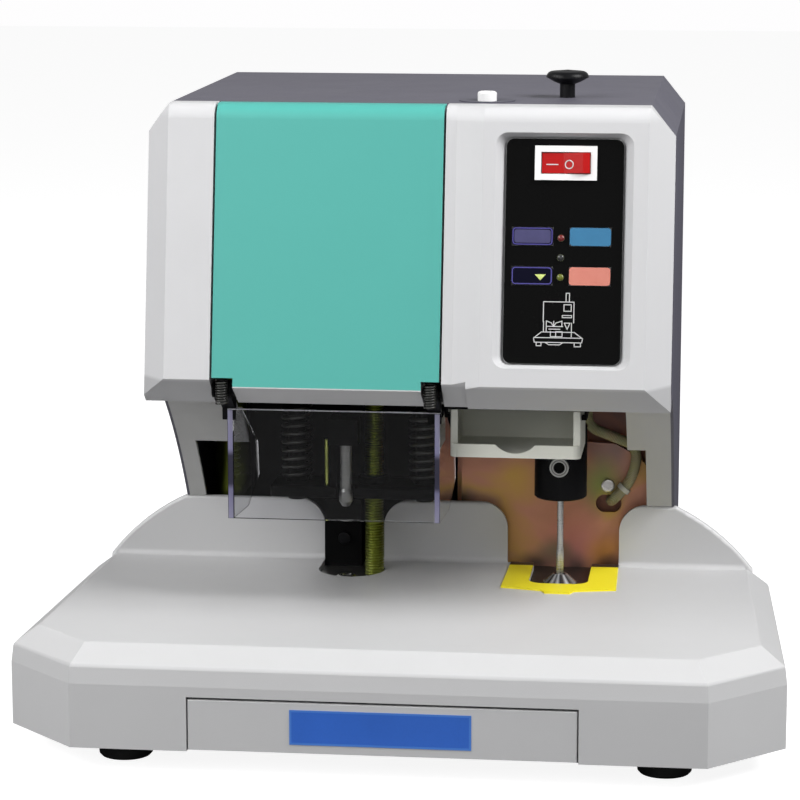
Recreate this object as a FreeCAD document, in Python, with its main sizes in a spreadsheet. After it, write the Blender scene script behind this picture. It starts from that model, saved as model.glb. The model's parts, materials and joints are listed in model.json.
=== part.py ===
import FreeCAD, Part
import math
import os
import re
import Sketcher
from types import SimpleNamespace
from FreeCAD import Placement, Rotation, Vector

# Desk voucher binder: the right station drills a stack of paper, the left one hot-presses a nylon
# tube through the hole. Millimetres, +Z up, the front faces -Y, the origin is under the middle.

os.makedirs("parts", exist_ok=True)
doc = FreeCAD.newDocument("VoucherBinder")

# Setbacks are measured from the front edge of the base, heights from the table it stands on.
sizes = {
    # base housing
    "base_width": 400, "base_depth": 320, "corner_cut": 39, "side_taper": 7.8,
    "foot_height": 12.5, "crease_height": 46, "crease_inset": 1.2, "edge_height": 55.4,
    "table_height": 64.6, "bevel_width": 13.5, "skin": 3, "floor_sheet": 2,
    "foot_radius": 14.2, "foot_side": 139, "foot_setback": 34, "foot_rear_side": 118,
    "foot_rear_gap": 26.5, "edge_round": 2.5, "seat_gap": 0.3,
    # raised wall behind the paper
    "wall_setback": 208, "wall_height": 34.8, "wall_foot_half": 182, "wall_top_half": 139,
    "wall_round": 2, "wall_cove": 3,
    # openings for the rivet press and the drill
    "rivet_x": -42, "rivet_setback": 172, "rivet_slot_width": 33.6, "rivet_hole_x": -40.6,
    "rivet_hole_setback": 184.9, "rivet_hole_radius": 18.6,
    "drill_x": 76, "drill_setback": 180, "drill_slot_width": 62.6, "slot_flare": 15,
    "notch_width": 32.6, "notch_setback": 159.5, "notch_corner": 8, "bay_half": 131.3,
    "insert_x": 77, "insert_width": 62.8, "insert_setback": 150, "insert_rear_setback": 199,
    "insert_sheet": 0.9, "insert_tab": 13.6, "insert_tab_reach": 10.5,
    # scrap drawer
    "drawer_x": -2, "drawer_width": 196.7, "drawer_top": 39.5, "drawer_lift": 0.8,
    "drawer_depth": 215, "drawer_wall": 2, "drawer_gap": 1.3, "rail_gap": 0.5, "fascia_drop": 0.4,
    # head housing
    "head_half": 137.8, "head_height": 331, "head_bevel_width": 12.6, "housing_setback": 60,
    "head_bevel_drop": 15.6, "sheet": 1.5, "face_slope": 0.178, "face_setback": 75,
    "face_foot_height": 190, "cover_depth": 15, "facet_width": 13, "pod_rise": 5, "pod_left": 40.3,
    "pod_ramp": 14.5, "lip_height": 175, "lip_setback": 93, "lip_return": 7, "top_round": 9,
    "throat_setback": 132, "throat_mid_setback": 176, "throat_mid_height": 137.5,
    "throat_left": -99, "throat_shelf": 16, "throat_right": 112.5, "throat_step": 24,
    "throat_widen_left": 28, "throat_widen_right": 10, "cover_web": 2.5, "cover_inside": 6,
    # rear; the total depth runs to the face of the mains inlet
    "inlet_stand": 3.5, "inlet_x": -90, "inlet_height": 138, "inlet_width": 27.6, "inlet_tall": 19.6,
    "inlet_play": 0.2, "inlet_depth": 16, "inlet_flange_width": 50, "inlet_flange_tall": 23,
    "socket_depth": 13, "pin_width": 2, "pin_tall": 5, "pin_spread": 6,
    "vent_side": 70, "vent_low": 215, "vent_high": 262, "vent_width": 4, "vent_tall": 32, "vent_pitch": 9,
    "vent_count": 7,
    # door
    "door_left": -99.5, "door_right": 19.1, "door_gap": 1.2, "door_depth": 12, "door_sheet": 1.2,
    "door_wall": 3, "door_panel_height": 186.6, "hinge_behind": 10.402, "hinge_drop": 3.5,
    "hinge_radius": 1.8, "hinge_play": 0.05, "notch_top": 191, "notch_left_width": 11.1,
    "notch_right_width": 9.4,
    # control panel; a drop is measured down from the top of the head
    "panel_left": 51.5, "panel_right": 112.2, "panel_margin": 12, "panel_drop": 15,
    "recess_depth": 6, "recess_slope": 5, "panel_sheet": 2, "panel_round": 4,
    "rocker_x": 82.4, "rocker_drop": 27.5, "bezel_width": 31.8, "bezel_height": 17.6,
    "bezel_wall": 3.2, "bezel_rise": 1.6, "bezel_step": 1.3, "rocker_pin": 0.9, "rocker_play": 0.05,
    "key_width": 21, "key_tall": 9.2, "key_rise": 0.8, "key_left": 66, "key_right": 95.6,
    "key_upper_drop": 64.5, "key_lower_drop": 84.4, "key_gap": 0.3,
    "led_x": 80.6, "led_radius": 1.8, "led_pitch": 9.9,
    # guard
    "guard_left": -94.5, "guard_right": 18, "guard_setback": 93.5, "guard_sheet": 3,
    "guard_top": 171, "guard_bottom": 112.5, "pivot_setback": 86, "pivot_height": 183,
    "pivot_radius": 2, "pivot_play": 0.05, "arm_width": 7, "arm_barrel": 5,
    # press
    "plate_left": -84, "plate_right": 13, "plate_setback": 168, "plate_depth": 34,
    "plate_height": 104.5, "plate_thick": 10, "column_setback": 186, "column_left": -71.2,
    "column_right": 0.2, "column_radius": 5, "column_play": 0.05, "spring_radius": 8.7,
    "spring_wire": 1.1, "spring_turns": 12, "beam_height": 172, "beam_thick": 10,
    "screw_x": -28, "screw_radius": 5.6, "screw_drop": 69, "press_down": 36,
    "frame_left": -105, "frame_right": 11, "beam_left": -98, "beam_right": 12, "beam_setback": 162,
    "rib_setback": 180, "rib_rise": 60, "boss_rise": 4, "heater_low": 139, "heater_high": 153,
    "die_tip": 103.6, "frame_setback": 231, "frame_sheet": 6, "frame_drop": 31, "guide_setback": 204,
    "guide_width": 21, "guide_height": 38.4, "anvil_height": 61.6, "anvil_sheet": 4,
    "die_radius": 3.25, "lower_die_radius": 5.3,
    # drill
    "chuck_radius": 14.4, "chuck_height": 110, "bit_radius": 2.1, "shank_radius": 1.7,
    "bit_tip": 62.6, "bed_height": 61, "bed_sheet": 3, "ring_radius": 9.3, "ring_height": 66.4,
    "backplate_setback": 218, "backplate_sheet": 2.5, "backplate_left": 17.7,
    "backplate_right": 122.1, "backplate_top": 133.3, "wire_hole_x": 100.8, "wire_hole_height": 98.25,
    "wire_hole_width": 14.4, "wire_hole_tall": 10.1, "wire_radius": 2.9, "mast_setback": 233, "mast_sheet": 3,
    "mast_left": 14, "mast_right": 126, "shelf_thick": 6,
    "mast_drop": 9, "rod_left": 54, "rod_right": 112, "rod_setback": 214, "rod_radius": 5,
    "rod_play": 0.05, "carriage_height": 240, "carriage_thick": 10, "quill_radius": 17,
    "spindle_radius": 6, "spindle_play": 0.05, "motor_x": 114.5,
    "motor_radius": 19, "motor_length": 58, "motor_shaft": 3, "pulley_radius": 12, "motor_pulley_radius": 8,
    "pulley_tall": 6, "belt_thick": 1.5, "chuck_tall": 42, "clamp_height": 129, "clamp_radius": 5.2,
    "socket_radius": 3.1, "bit_neck": 78, "shank_reach": 19, "knob_x": 78.8, "knob_setback": 160,
    "knob_radius": 11.3, "knob_rise": 14.7, "knob_rod": 4.05, "pinion_radius": 8, "pinion_teeth": 16,
    "rack_teeth": 24, "rack_x": 30,
    "feed_shaft": 2.5, "feed_motor_radius": 14, "feed_motor_length": 34,
    # tube feed
    "tube_x": 38.4, "tube_setback": 133, "tube_disc": 14.5, "tube_bush": 5, "tube_bore": 3.4,
    "tray_left": 21.5, "tray_right": 90.5, "tray_setback": 110, "tray_depth": 50,
    "tray_bottom": 145, "tray_top": 170, "tray_wall": 2, "tray_lip": 7, "tray_play": 0.3,
    "tray_rim": 1.5, "thumb_half": 10.5, "thumb_deep": 4.6, "rail_wall": 1.2, "rail_setback": 112,
}

sheet = doc.addObject("Spreadsheet::Sheet", "Sizes")
for row, (name, number) in enumerate(sizes.items(), start=1):
    sheet.set(f"A{row}", name)
    sheet.set(f"B{row}", str(number))
    sheet.setAlias(f"B{row}", name)
doc.recompute()
d = SimpleNamespace(**{name: float(sheet.get(name)) for name in sizes})

front = -d.base_depth / 2
rear = front + d.base_depth - d.inlet_stand
wing_end = front + d.wall_setback + d.skin
floor_top = d.foot_height + d.floor_sheet
wall_top = d.table_height + d.wall_height
panel_low = d.face_foot_height + d.panel_margin
panel_high = d.head_height - d.panel_drop
rocker_height = d.head_height - d.rocker_drop
key_upper = d.head_height - d.key_upper_drop
key_lower = d.head_height - d.key_lower_drop
hinge_height = d.head_height - d.hinge_drop
mast_top = d.head_height - d.mast_drop
knob_top = d.head_height + d.knob_rise
tilt = math.degrees(math.atan(d.face_slope))
stretch = 1 / math.cos(math.radians(tilt))
parts = []


def back(setback):
    return front + setback


def face_y(height, behind=0.0):
    """Y of the sloped front face of the head at a height, or of a plane behind it."""
    return back(d.face_setback) + d.face_slope * (height - d.face_foot_height) + behind


hinge_y = face_y(d.head_height, d.hinge_behind)


# small modelling vocabulary

def bind(feature, prop, value):
    """Sets a size from a number, or binds it to the sheet when it is given as a formula."""
    if isinstance(value, str):
        feature.setExpression(prop, re.sub(r"\b([a-z]\w+)\b", r"Sizes.\1", value))
    else:
        setattr(feature, prop, value)


def new_body(label):
    body = doc.addObject("PartDesign::Body", label)
    body.Label = label
    parts.append(body)
    return body


def add_line_or_arc(sketch, start, step):
    here = Vector(start[0], start[1], 0)
    if step[0] == "arc":
        middle, end = step[1], step[2]
        sketch.addGeometry(
            Part.Arc(here, Vector(middle[0], middle[1], 0), Vector(end[0], end[1], 0)), False)
        return end
    sketch.addGeometry(Part.LineSegment(here, Vector(step[0], step[1], 0)), False)
    return step


def draw_outline(sketch, outline):
    """A closed outline of points; ("arc", middle, end) bends the stretch to its end."""
    here = outline[0]
    for step in outline[1:]:
        here = add_line_or_arc(sketch, here, step)
    if math.dist(here, outline[0]) > 1e-6:
        add_line_or_arc(sketch, here, outline[0])


def draw_circle(sketch, x, y, radius):
    """A circle whose radius is a number or a formula."""
    start = 1.0 if isinstance(radius, str) else radius
    index = sketch.addGeometry(Part.Circle(Vector(x, y, 0), Vector(0, 0, 1), start), False)
    number = sketch.addConstraint(Sketcher.Constraint("Radius", index, start))
    if isinstance(radius, str):
        bind(sketch, f"Constraints[{number}]", radius)


def sketch_on(body, plane, at, outlines=(), circles=(), lean=False):
    """A sketch on the XY, XZ or YZ plane at a height, depth or side; lean tilts it with the face."""
    sketch = body.newObject("Sketcher::SketchObject", "Sketch")
    origin_plane = next(f for f in body.Origin.OriginFeatures if f.Role == plane + "_Plane")
    sketch.AttachmentSupport = (origin_plane, [""])
    sketch.MapMode = "FlatFace"
    if lean:
        depth, height = at
        sketch.AttachmentOffset = Placement(
            Vector(0, height, -depth), Rotation(Vector(1, 0, 0), -tilt))
    else:
        sketch.AttachmentOffset = Placement(Vector(0, 0, -at if plane == "XZ" else at), Rotation())
    for outline in outlines:
        draw_outline(sketch, outline)
    for x, y, radius in circles:
        draw_circle(sketch, x, y, radius)
    return sketch


def feature(body, kind, sketch, length=None, reverse=False, along=None):
    made = body.newObject("PartDesign::" + kind, kind)
    made.Profile = sketch
    if length is not None:
        bind(made, "Length", length)
    if along is not None:
        made.UseCustomVector = True
        made.Direction = along
        made.AlongSketchNormal = True
    made.Reversed = reverse
    return made


def pad(body, sketch, length, along=None):
    """Thickens a sketch towards +X, +Y or +Z, or along a given direction."""
    on_xz = "XZ" in sketch.AttachmentSupport[0][0].Role
    return feature(body, "Pad", sketch, length, reverse=on_xz and along is None, along=along)


def pocket(body, sketch, length, along=None):
    """Cuts a sketch out towards +X, +Y or +Z, or along a given direction."""
    on_xz = "XZ" in sketch.AttachmentSupport[0][0].Role
    return feature(body, "Pocket", sketch, length, reverse=not on_xz and along is None, along=along)


def loft(body, kind, low, high):
    made = body.newObject("PartDesign::" + kind, kind)
    made.Profile = low
    made.Sections = [high]
    made.Ruled = True
    return made


def revolve(body, sketch, kind="Revolution"):
    """Turns a sketch once round its own vertical axis."""
    made = body.newObject("PartDesign::" + kind, kind)
    made.Profile = sketch
    made.ReferenceAxis = (sketch, ["V_Axis"])
    made.Angle = 360
    return made


def round_edges(body, radius, wanted, kind="Fillet"):
    """Rounds the edges of the body's last feature whose middle points are wanted."""
    doc.recompute()
    base = body.Tip
    names = []
    for number, edge in enumerate(base.Shape.Edges, start=1):
        if wanted(edge.valueAt((edge.FirstParameter + edge.LastParameter) / 2), edge):
            names.append(f"Edge{number}")
    made = body.newObject("PartDesign::" + kind, kind)
    made.Base = (base, names)
    bind(made, "Radius" if kind == "Fillet" else "Size", radius)
    return made


def rectangle(x0, x1, y0, y1):
    return [(x0, y0), (x1, y0), (x1, y1), (x0, y1)]


def rounded(x0, x1, y0, y1, radius):
    """A rectangle with round corners."""
    cut = radius * (1 - math.sqrt(0.5))
    return [
        (x0 + radius, y0), (x1 - radius, y0), ("arc", (x1 - cut, y0 + cut), (x1, y0 + radius)),
        (x1, y1 - radius), ("arc", (x1 - cut, y1 - cut), (x1 - radius, y1)),
        (x0 + radius, y1), ("arc", (x0 + cut, y1 - cut), (x0, y1 - radius)),
        (x0, y0 + radius), ("arc", (x0 + cut, y0 + cut), (x0 + radius, y0)),
    ]


def cylinder(label, place, radius, height, axis="Z"):
    made = doc.addObject("Part::Cylinder", label)
    made.Label = label
    bind(made, "Radius", radius)
    bind(made, "Height", height)
    turn = {"Z": Rotation(), "X": Rotation(Vector(0, 1, 0), 90), "Y": Rotation(Vector(1, 0, 0), -90)}
    made.Placement = Placement(Vector(*place), turn[axis])
    return made


# base

def base_outline(inset, rear_inset=0):
    """The base seen from above: cut front corners and sides that close in towards the wall."""
    half = d.base_width / 2
    shift = inset * math.tan(math.radians(22.5))
    rear_half = half - d.side_taper - inset
    right = [(half - d.corner_cut - shift, front + inset), (half - inset, front + d.corner_cut + shift),
             (rear_half, wing_end - rear_inset)]
    return right + [(-x, y) for x, y in right[::-1]]


def wall_profile():
    """The raised wall seen from the front, with its two rounded shoulders."""
    foot, top = d.wall_foot_half, d.wall_top_half
    bulge = (top + (foot - top) * 0.52, d.table_height + d.wall_height * 0.6)
    low = d.table_height - d.bevel_width / 2
    return [(-foot, low), (foot, low), (foot, d.table_height), ("arc", bulge, (top, wall_top)),
            (-top, wall_top), ("arc", (-bulge[0], bulge[1]), (-foot, d.table_height))]


def slot_profile(middle, width, flare):
    """A gap through the wall whose upper corners open out in quarter rounds."""
    half, cut = width / 2, flare * (1 - math.sqrt(0.5))
    low, turn = d.foot_height, wall_top - flare
    return [(middle - half, low), (middle + half, low), (middle + half, turn),
            ("arc", (middle + half + cut, wall_top - cut), (middle + half + flare, wall_top)),
            (middle + half + flare, wall_top + 1), (middle - half - flare, wall_top + 1),
            (middle - half - flare, wall_top),
            ("arc", (middle - half - cut, wall_top - cut), (middle - half, turn))]


def base_cover():
    body = new_body("base_cover")
    pad(body, sketch_on(body, "XY", d.foot_height, [base_outline(0)]), "crease_height - foot_height")
    steps = [(d.crease_height, 0), (d.edge_height, d.crease_inset), (d.table_height, d.bevel_width)]
    for (low, inset), (high, next_inset) in zip(steps, steps[1:]):
        loft(body, "AdditiveLoft", sketch_on(body, "XY", low, [base_outline(inset)]),
             sketch_on(body, "XY", high, [base_outline(next_inset)]))
    # soft edges where the mould turns
    for height in (d.edge_height, d.table_height):
        round_edges(body, d.edge_round, lambda at, edge: abs(at.z - height) < 0.01 and at.y < wing_end - 1)
    wall_y = back(d.wall_setback)
    pad(body, sketch_on(body, "XZ", wall_y, [wall_profile()]), "skin")
    round_edges(body, d.wall_round, lambda at, edge: (
        abs(at.y - wall_y) < 0.01 and abs(at.x) < d.wall_foot_half - 1 and at.z > d.table_height + 1))
    # cove along the foot of the wall
    cove, run = d.wall_cove, d.wall_foot_half - 4
    cut = cove * (1 - math.sqrt(0.5))
    foot = [(wall_y - cove, d.table_height), ("arc", (wall_y - cut, d.table_height + cut),
            (wall_y, d.table_height + cove)), (wall_y + 1, d.table_height + cove),
            (wall_y + 1, d.table_height - 1), (wall_y - cove, d.table_height - 1)]
    pad(body, sketch_on(body, "YZ", -run, [foot]), 2 * run)
    # hollow underside
    pocket(body, sketch_on(body, "XY", d.foot_height, [base_outline(d.skin, d.skin)]),
           "edge_height - skin - foot_height")
    pocket(body, sketch_on(body, "XY", d.foot_height, [base_outline(d.bevel_width + d.skin, d.skin)]),
           "table_height - skin - foot_height")
    way = rectangle(-d.bay_half, d.bay_half, d.foot_height - 1, d.table_height - d.skin)
    pocket(body, sketch_on(body, "XZ", wall_y - 1, [way]), "skin + 2")
    # table openings: a round-ended one under the rivet die, a square one under the drill
    half, hole_y = d.rivet_slot_width / 2, back(d.rivet_hole_setback)
    rivet = sketch_on(body, "XY", d.foot_height, (), [(d.rivet_hole_x, hole_y, "rivet_hole_radius")])
    pocket(body, rivet, "table_height - foot_height + skin")
    passage = rectangle(d.rivet_x - half, d.rivet_x + half, hole_y, wing_end + 1)
    pocket(body, sketch_on(body, "XY", d.foot_height, [passage]), "table_height - foot_height + skin")
    notch = rounded(d.drill_x - d.notch_width / 2, d.drill_x + d.notch_width / 2,
                    back(d.notch_setback), wing_end + d.notch_corner, d.notch_corner)
    pocket(body, sketch_on(body, "XY", d.foot_height, [notch]),
           "table_height - foot_height + skin")
    # gaps through the wall
    for middle, width in ((d.rivet_x, d.rivet_slot_width), (d.drill_x, d.drill_slot_width)):
        pocket(body, sketch_on(body, "XZ", wall_y - 1, [slot_profile(middle, width, d.slot_flare)]),
               "skin + 2")
    # mouth of the scrap drawer
    low, high = d.drawer_x - d.drawer_width / 2, d.drawer_x + d.drawer_width / 2
    mouth = rectangle(low - d.drawer_gap / 2, high + d.drawer_gap / 2, 0, d.drawer_top + d.drawer_gap)
    pocket(body, sketch_on(body, "XZ", front - 1, [mouth]), "skin * 3")


def base_plate():
    """Sheet floor of the base and of the narrower rear, with two lips that guide the drawer."""
    body = new_body("base_plate")
    pad(body, sketch_on(body, "XY", d.foot_height, [base_outline(d.skin, d.skin)]), "floor_sheet")
    half, step = d.head_half, wing_end + d.seat_gap
    neck, narrow = wing_end - 2 * d.skin, d.bay_half - d.seat_gap
    tail = [(-narrow, neck), (narrow, neck), (narrow, step), (half, step),
            (half, rear), (-half, rear), (-half, step), (-narrow, step)]
    pad(body, sketch_on(body, "XY", d.foot_height, [tail]), "floor_sheet")
    sides = (d.drawer_x - d.drawer_width / 2 - d.drawer_gap - d.floor_sheet,
             d.drawer_x + d.drawer_width / 2 + d.drawer_gap)
    start = front + 2 * d.skin
    for side in sides:
        lip = rectangle(side, side + d.floor_sheet, start, start + d.drawer_depth - 4 * d.skin)
        pad(body, sketch_on(body, "XY", floor_top, [lip]), "drawer_top - foot_height - 3 * floor_sheet")


def feet():
    """Four round rubber feet, each a little wider at the top and hollow round its screw."""
    places = {
        "front_left": (-d.foot_side, back(d.foot_setback)),
        "front_right": (d.foot_side, back(d.foot_setback)),
        "rear_left": (-d.foot_rear_side, rear - d.foot_rear_gap),
        "rear_right": (d.foot_rear_side, rear - d.foot_rear_gap),
    }
    for corner, (x, y) in places.items():
        body = new_body("foot_" + corner)
        radius, tall = d.foot_radius, d.foot_height
        half = [(0, 3), (radius * 0.35, 3), (radius * 0.35, 0), (radius - 1.5, 0),
                (radius - 0.4, 1.2), (radius + 0.6, tall), (0, tall)]
        sketch = sketch_on(body, "XZ", 0, [half])
        revolve(body, sketch)
        body.Placement = Placement(Vector(x, y, 0), Rotation())


def scrap_drawer():
    """Open tray that catches the drilled paper, with a flush front."""
    body = new_body("scrap_drawer")
    low, high = d.drawer_x - d.drawer_width / 2, d.drawer_x + d.drawer_width / 2
    bottom = d.foot_height + d.drawer_lift
    floor = floor_top + d.seat_gap
    inner_low, inner_high = low + d.rail_gap, high - d.rail_gap
    face, fascia = front + d.fascia_drop, d.skin - 0.2
    rear_face = front + fascia
    pad(body, sketch_on(body, "XZ", face, [rectangle(low, high, bottom, d.drawer_top)]), rear_face - face)
    box = rectangle(inner_low, inner_high, floor, d.drawer_top - d.drawer_wall)
    pad(body, sketch_on(body, "XZ", rear_face, [box]), d.drawer_depth - fascia)
    hollow = rounded(inner_low + d.drawer_wall, inner_high - d.drawer_wall,
                     rear_face + d.drawer_wall, front + d.drawer_depth - d.drawer_wall, 5)
    pocket(body, sketch_on(body, "XY", floor + d.drawer_wall, [hollow]), d.drawer_top)
    round_edges(body, 0.6, lambda at, edge: abs(at.y - face) < 0.01 and at.z > bottom + 2)


def table_insert():
    """Yellow gauge sheet round the drill opening, bowed forward to a tab with the middle mark."""
    body = new_body("table_insert")
    middle, left, right = d.insert_x, d.insert_x - d.insert_width / 2, d.insert_x + d.insert_width / 2
    edge, end = back(d.insert_setback), back(d.insert_rear_setback)
    tab, reach = d.insert_tab / 2, edge - d.insert_tab_reach
    root = edge - d.insert_tab_reach / 2
    throat = back(d.notch_setback)
    low, high = d.drill_x - d.notch_width / 2, d.drill_x + d.notch_width / 2
    corner, cut = d.notch_corner, d.notch_corner * (1 - math.sqrt(0.5))
    outline = [
        (left, edge), (middle - tab - 2, root), (middle - tab, reach), (middle + tab, reach),
        (middle + tab + 2, root), (right, edge), (right - 1, end), (high, end), (high, throat + corner),
        ("arc", (high - cut, throat + cut), (high - corner, throat)), (low + corner, throat),
        ("arc", (low + cut, throat + cut), (low, throat + corner)), (low, end), (left + 1, end),
    ]
    pad(body, sketch_on(body, "XY", d.table_height, [outline]), "insert_sheet")


# drill table and anvil

def drill_bed():
    """Steel bed under the drill, carried by the back plate, with the chute for the scrap."""
    body = new_body("drill_bed")
    bottom = d.bed_height - d.bed_sheet
    plate = rectangle(d.drill_x - d.notch_width / 2 - 5, d.drill_x + d.notch_width / 2 + 5,
                      back(d.notch_setback) - 6, back(d.backplate_setback))
    pad(body, sketch_on(body, "XY", bottom, [plate]), "bed_sheet")
    y = back(d.drill_setback)
    chute = sketch_on(body, "XY", d.drawer_top + 3, (), [(d.drill_x, y, "ring_radius")])
    pad(body, chute, bottom - d.drawer_top - 3)
    bore = sketch_on(body, "XY", d.drawer_top, (), [(d.drill_x, y, "bit_radius + 3")])
    pocket(body, bore, d.bed_height)


def bit_ring():
    """Chromed cone with a bore that backs the paper round the bit."""
    body = new_body("bit_ring")
    inner = d.bit_radius + 0.8
    half = [(inner, d.bed_height), (d.ring_radius, d.bed_height), (d.ring_radius, d.bed_height + 0.8),
            (inner + 1.2, d.ring_height), (inner, d.ring_height)]
    revolve(body, sketch_on(body, "XZ", 0, [half]))
    body.Placement = Placement(Vector(d.drill_x, back(d.drill_setback), 0), Rotation())


def anvil():
    """Plate under the rivet opening and the lower die that stands on it."""
    body = new_body("anvil_plate")
    bottom = d.anvil_height - d.anvil_sheet
    half = d.rivet_slot_width / 2 + 6
    plate = rectangle(d.rivet_x - half, d.rivet_x + half,
                      back(d.rivet_hole_setback) - d.rivet_hole_radius - 6, back(d.frame_setback))
    pad(body, sketch_on(body, "XY", bottom, [plate]), "anvil_sheet")
    die = new_body("lower_die")
    tall = d.table_height - d.anvil_height
    half = [(1.6, 0), (d.lower_die_radius, 0), (d.lower_die_radius, tall - 0.8),
            (d.lower_die_radius - 0.8, tall), (2.6, tall), (1.6, tall - 1)]
    revolve(die, sketch_on(die, "XZ", 0, [half]))
    die.Placement = Placement(Vector(d.rivet_x, back(d.rivet_setback), d.anvil_height), Rotation())


# head housing

def throat_curve(behind=0.0):
    """From the wall's top up to the underside of the head, hollow towards the paper."""
    top = (back(d.throat_setback) + behind * 0.4, d.lip_height + behind)
    middle = (back(d.throat_mid_setback) + behind * 0.8, d.throat_mid_height + behind * 0.6)
    foot = (back(d.wall_setback) + behind + 0.5, wall_top)
    return top, middle, foot


def throat_skin():
    """Moulded panel that closes the hollow under the head, open where the two tools stand."""
    body = new_body("throat_skin")
    inner = d.head_half - d.sheet
    top, middle, foot = throat_curve()
    rear_top, rear_middle, rear_foot = throat_curve(2.5)
    start = back(d.lip_setback + d.lip_return)
    band = [(start, d.lip_height), top, ("arc", middle, foot), rear_foot,
            ("arc", rear_middle, rear_top), (start, rear_top[1])]
    pad(body, sketch_on(body, "YZ", -inner, [band]), "2 * (head_half - sheet)")
    shoulder = back(d.throat_mid_setback)
    left, shelf, right = d.throat_left, d.throat_shelf, d.throat_right
    shelf_end = start + d.throat_step
    low = back(d.wall_setback) + 9
    wide_left, wide_right = left - d.throat_widen_left, right + d.throat_widen_right
    opening = [(left, start + 4), (shelf, start + 4), (shelf, shelf_end), (right, shelf_end),
               (right, shoulder), (wide_right, shoulder), (wide_right, low), (wide_left, low),
               (wide_left, shoulder), (left, shoulder)]
    pocket(body, sketch_on(body, "XY", wall_top - 1, [opening]), d.head_height - wall_top)


def head_section(inset):
    """The head and the rear of the machine, down to its floor, seen from the front."""
    side, top = d.head_half - inset, d.head_height - inset
    drop = d.head_bevel_drop - inset * 0.4
    return [(-side, floor_top), (-side, top - drop), (-side + d.head_bevel_width, top),
            (side - d.head_bevel_width, top), (side, top - drop), (side, floor_top)]


def head_housing():
    """Folded sheet cover: top, bevels and sides, cut to the sloped front, the throat and the wall."""
    body = new_body("head_housing")
    outer, inner = head_section(0), head_section(d.sheet)
    channel = outer + inner[::-1]
    start = back(d.housing_setback)
    pad(body, sketch_on(body, "XZ", start, [channel]), "base_depth - inlet_stand - housing_setback")
    joint = d.cover_depth
    high = d.head_height + 5
    top, middle, foot = throat_curve()
    turn = back(d.lip_setback + d.lip_return)
    front_cut = [(start - 5, high), (face_y(high, joint), high),
                 (face_y(d.lip_height + 13, joint), d.lip_height + 13), (turn, d.lip_height + 4),
                 (turn, d.lip_height), top, ("arc", middle, foot), (wing_end + 0.5, wall_top),
                 (wing_end + 0.5, floor_top - 5), (start - 5, floor_top - 5)]
    pocket(body, sketch_on(body, "YZ", -d.head_half - 1, [front_cut]), "2 * head_half + 2")
    # holes for the tube inlet and the drill's lifting rod
    holes = sketch_on(body, "XY", d.head_height - 3, (), [
        (d.tube_x, back(d.tube_setback), "tube_disc - 2"),
        (d.knob_x, back(d.knob_setback), "knob_rod + 0.4")])
    pocket(body, holes, 5)


def rear_cover():
    """Sheet that closes the rear, with two fields of vent slots and a hole for the mains inlet."""
    body = new_body("rear_cover")
    place = rear - d.sheet
    pad(body, sketch_on(body, "XZ", place, [head_section(d.sheet)]), "sheet")
    half, tall, count = d.vent_width / 2, d.vent_tall / 2, int(d.vent_count)
    slot = rounded(-half, half, -tall, tall, half - 0.1)
    for field in (-d.vent_side, d.vent_side):
        for step in range(count):
            middle = field + (step - (count - 1) / 2) * d.vent_pitch
            for height in (d.vent_low, d.vent_high):
                moved = [shift_step(part, middle, height) for part in slot]
                pocket(body, sketch_on(body, "XZ", place - 1, [moved]), 4)
    hole = inlet_rect(d.inlet_width + 2 * d.inlet_play, d.inlet_tall + 2 * d.inlet_play)
    pocket(body, sketch_on(body, "XZ", place - 1, [hole]), 4)


def shift_step(step, x, y):
    if step[0] == "arc":
        return ("arc", (step[1][0] + x, step[1][1] + y), (step[2][0] + x, step[2][1] + y))
    return (step[0] + x, step[1] + y)


def inlet_rect(width, tall):
    x, z = d.inlet_x, d.inlet_height
    return rectangle(x - width / 2, x + width / 2, z - tall / 2, z + tall / 2)


def power_inlet():
    """Three-pin mains inlet in the rear, its flange on the sheet."""
    body = new_body("power_inlet")
    x, z = d.inlet_x, d.inlet_height
    wide, tall = d.inlet_flange_width / 2, d.inlet_flange_tall / 2
    flange = rounded(x - wide, x + wide, z - tall, z + tall, 3)
    pad(body, sketch_on(body, "XZ", rear, [flange]), "inlet_stand")
    shell = inlet_rect(d.inlet_width, d.inlet_tall)
    pad(body, sketch_on(body, "XZ", rear - d.inlet_depth, [shell]), "inlet_depth")
    half, high = d.inlet_width / 2 - 2.8, d.inlet_tall / 2 - 2.8
    mouth = [(x - half, z - high), (x + half, z - high), (x + half, z + high - 3), (x + half - 4, z + high),
             (x - half + 4, z + high), (x - half, z + high - 3)]
    pocket(body, sketch_on(body, "XZ", rear - d.socket_depth, [mouth]), "socket_depth + 2 * inlet_stand")
    pins = [rectangle(x + aside - d.pin_width / 2, x + aside + d.pin_width / 2,
                      z + lift - d.pin_tall / 2, z + lift + d.pin_tall / 2)
            for aside, lift in ((-d.pin_spread, -2), (0, 2), (d.pin_spread, -2))]
    pad(body, sketch_on(body, "XZ", rear - d.socket_depth - 1, pins), "socket_depth - 1")


def top_corner(behind, inset=0.0):
    """The round between a sloped face and the flat top: its start, middle and end, seen from the side."""
    top, radius = d.head_height - inset, d.top_round - inset
    turn = math.radians(90 - tilt)
    reach = radius * math.tan(turn / 2)
    corner_y = face_y(top, behind + inset / math.cos(math.radians(tilt)))
    start_z = top - reach * math.cos(math.radians(tilt))
    start = (corner_y - reach * math.sin(math.radians(tilt)), start_z)
    centre = (corner_y + reach, top - radius)
    slant = math.dist(centre, (corner_y, top))
    middle = (centre[0] + (corner_y - centre[0]) * radius / slant,
              centre[1] + (top - centre[1]) * radius / slant)
    return start, middle, (corner_y + reach, top)


def outside_corner(behind):
    """What the round takes off a square corner."""
    start, middle, end = top_corner(behind)
    return [start, ("arc", middle, end), (end[0], end[1] + 5), (start[0] - 12, end[1] + 5),
            (start[0] - 12, start[1] - 8), (start[0] - 8 * d.face_slope, start[1] - 8)]


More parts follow.
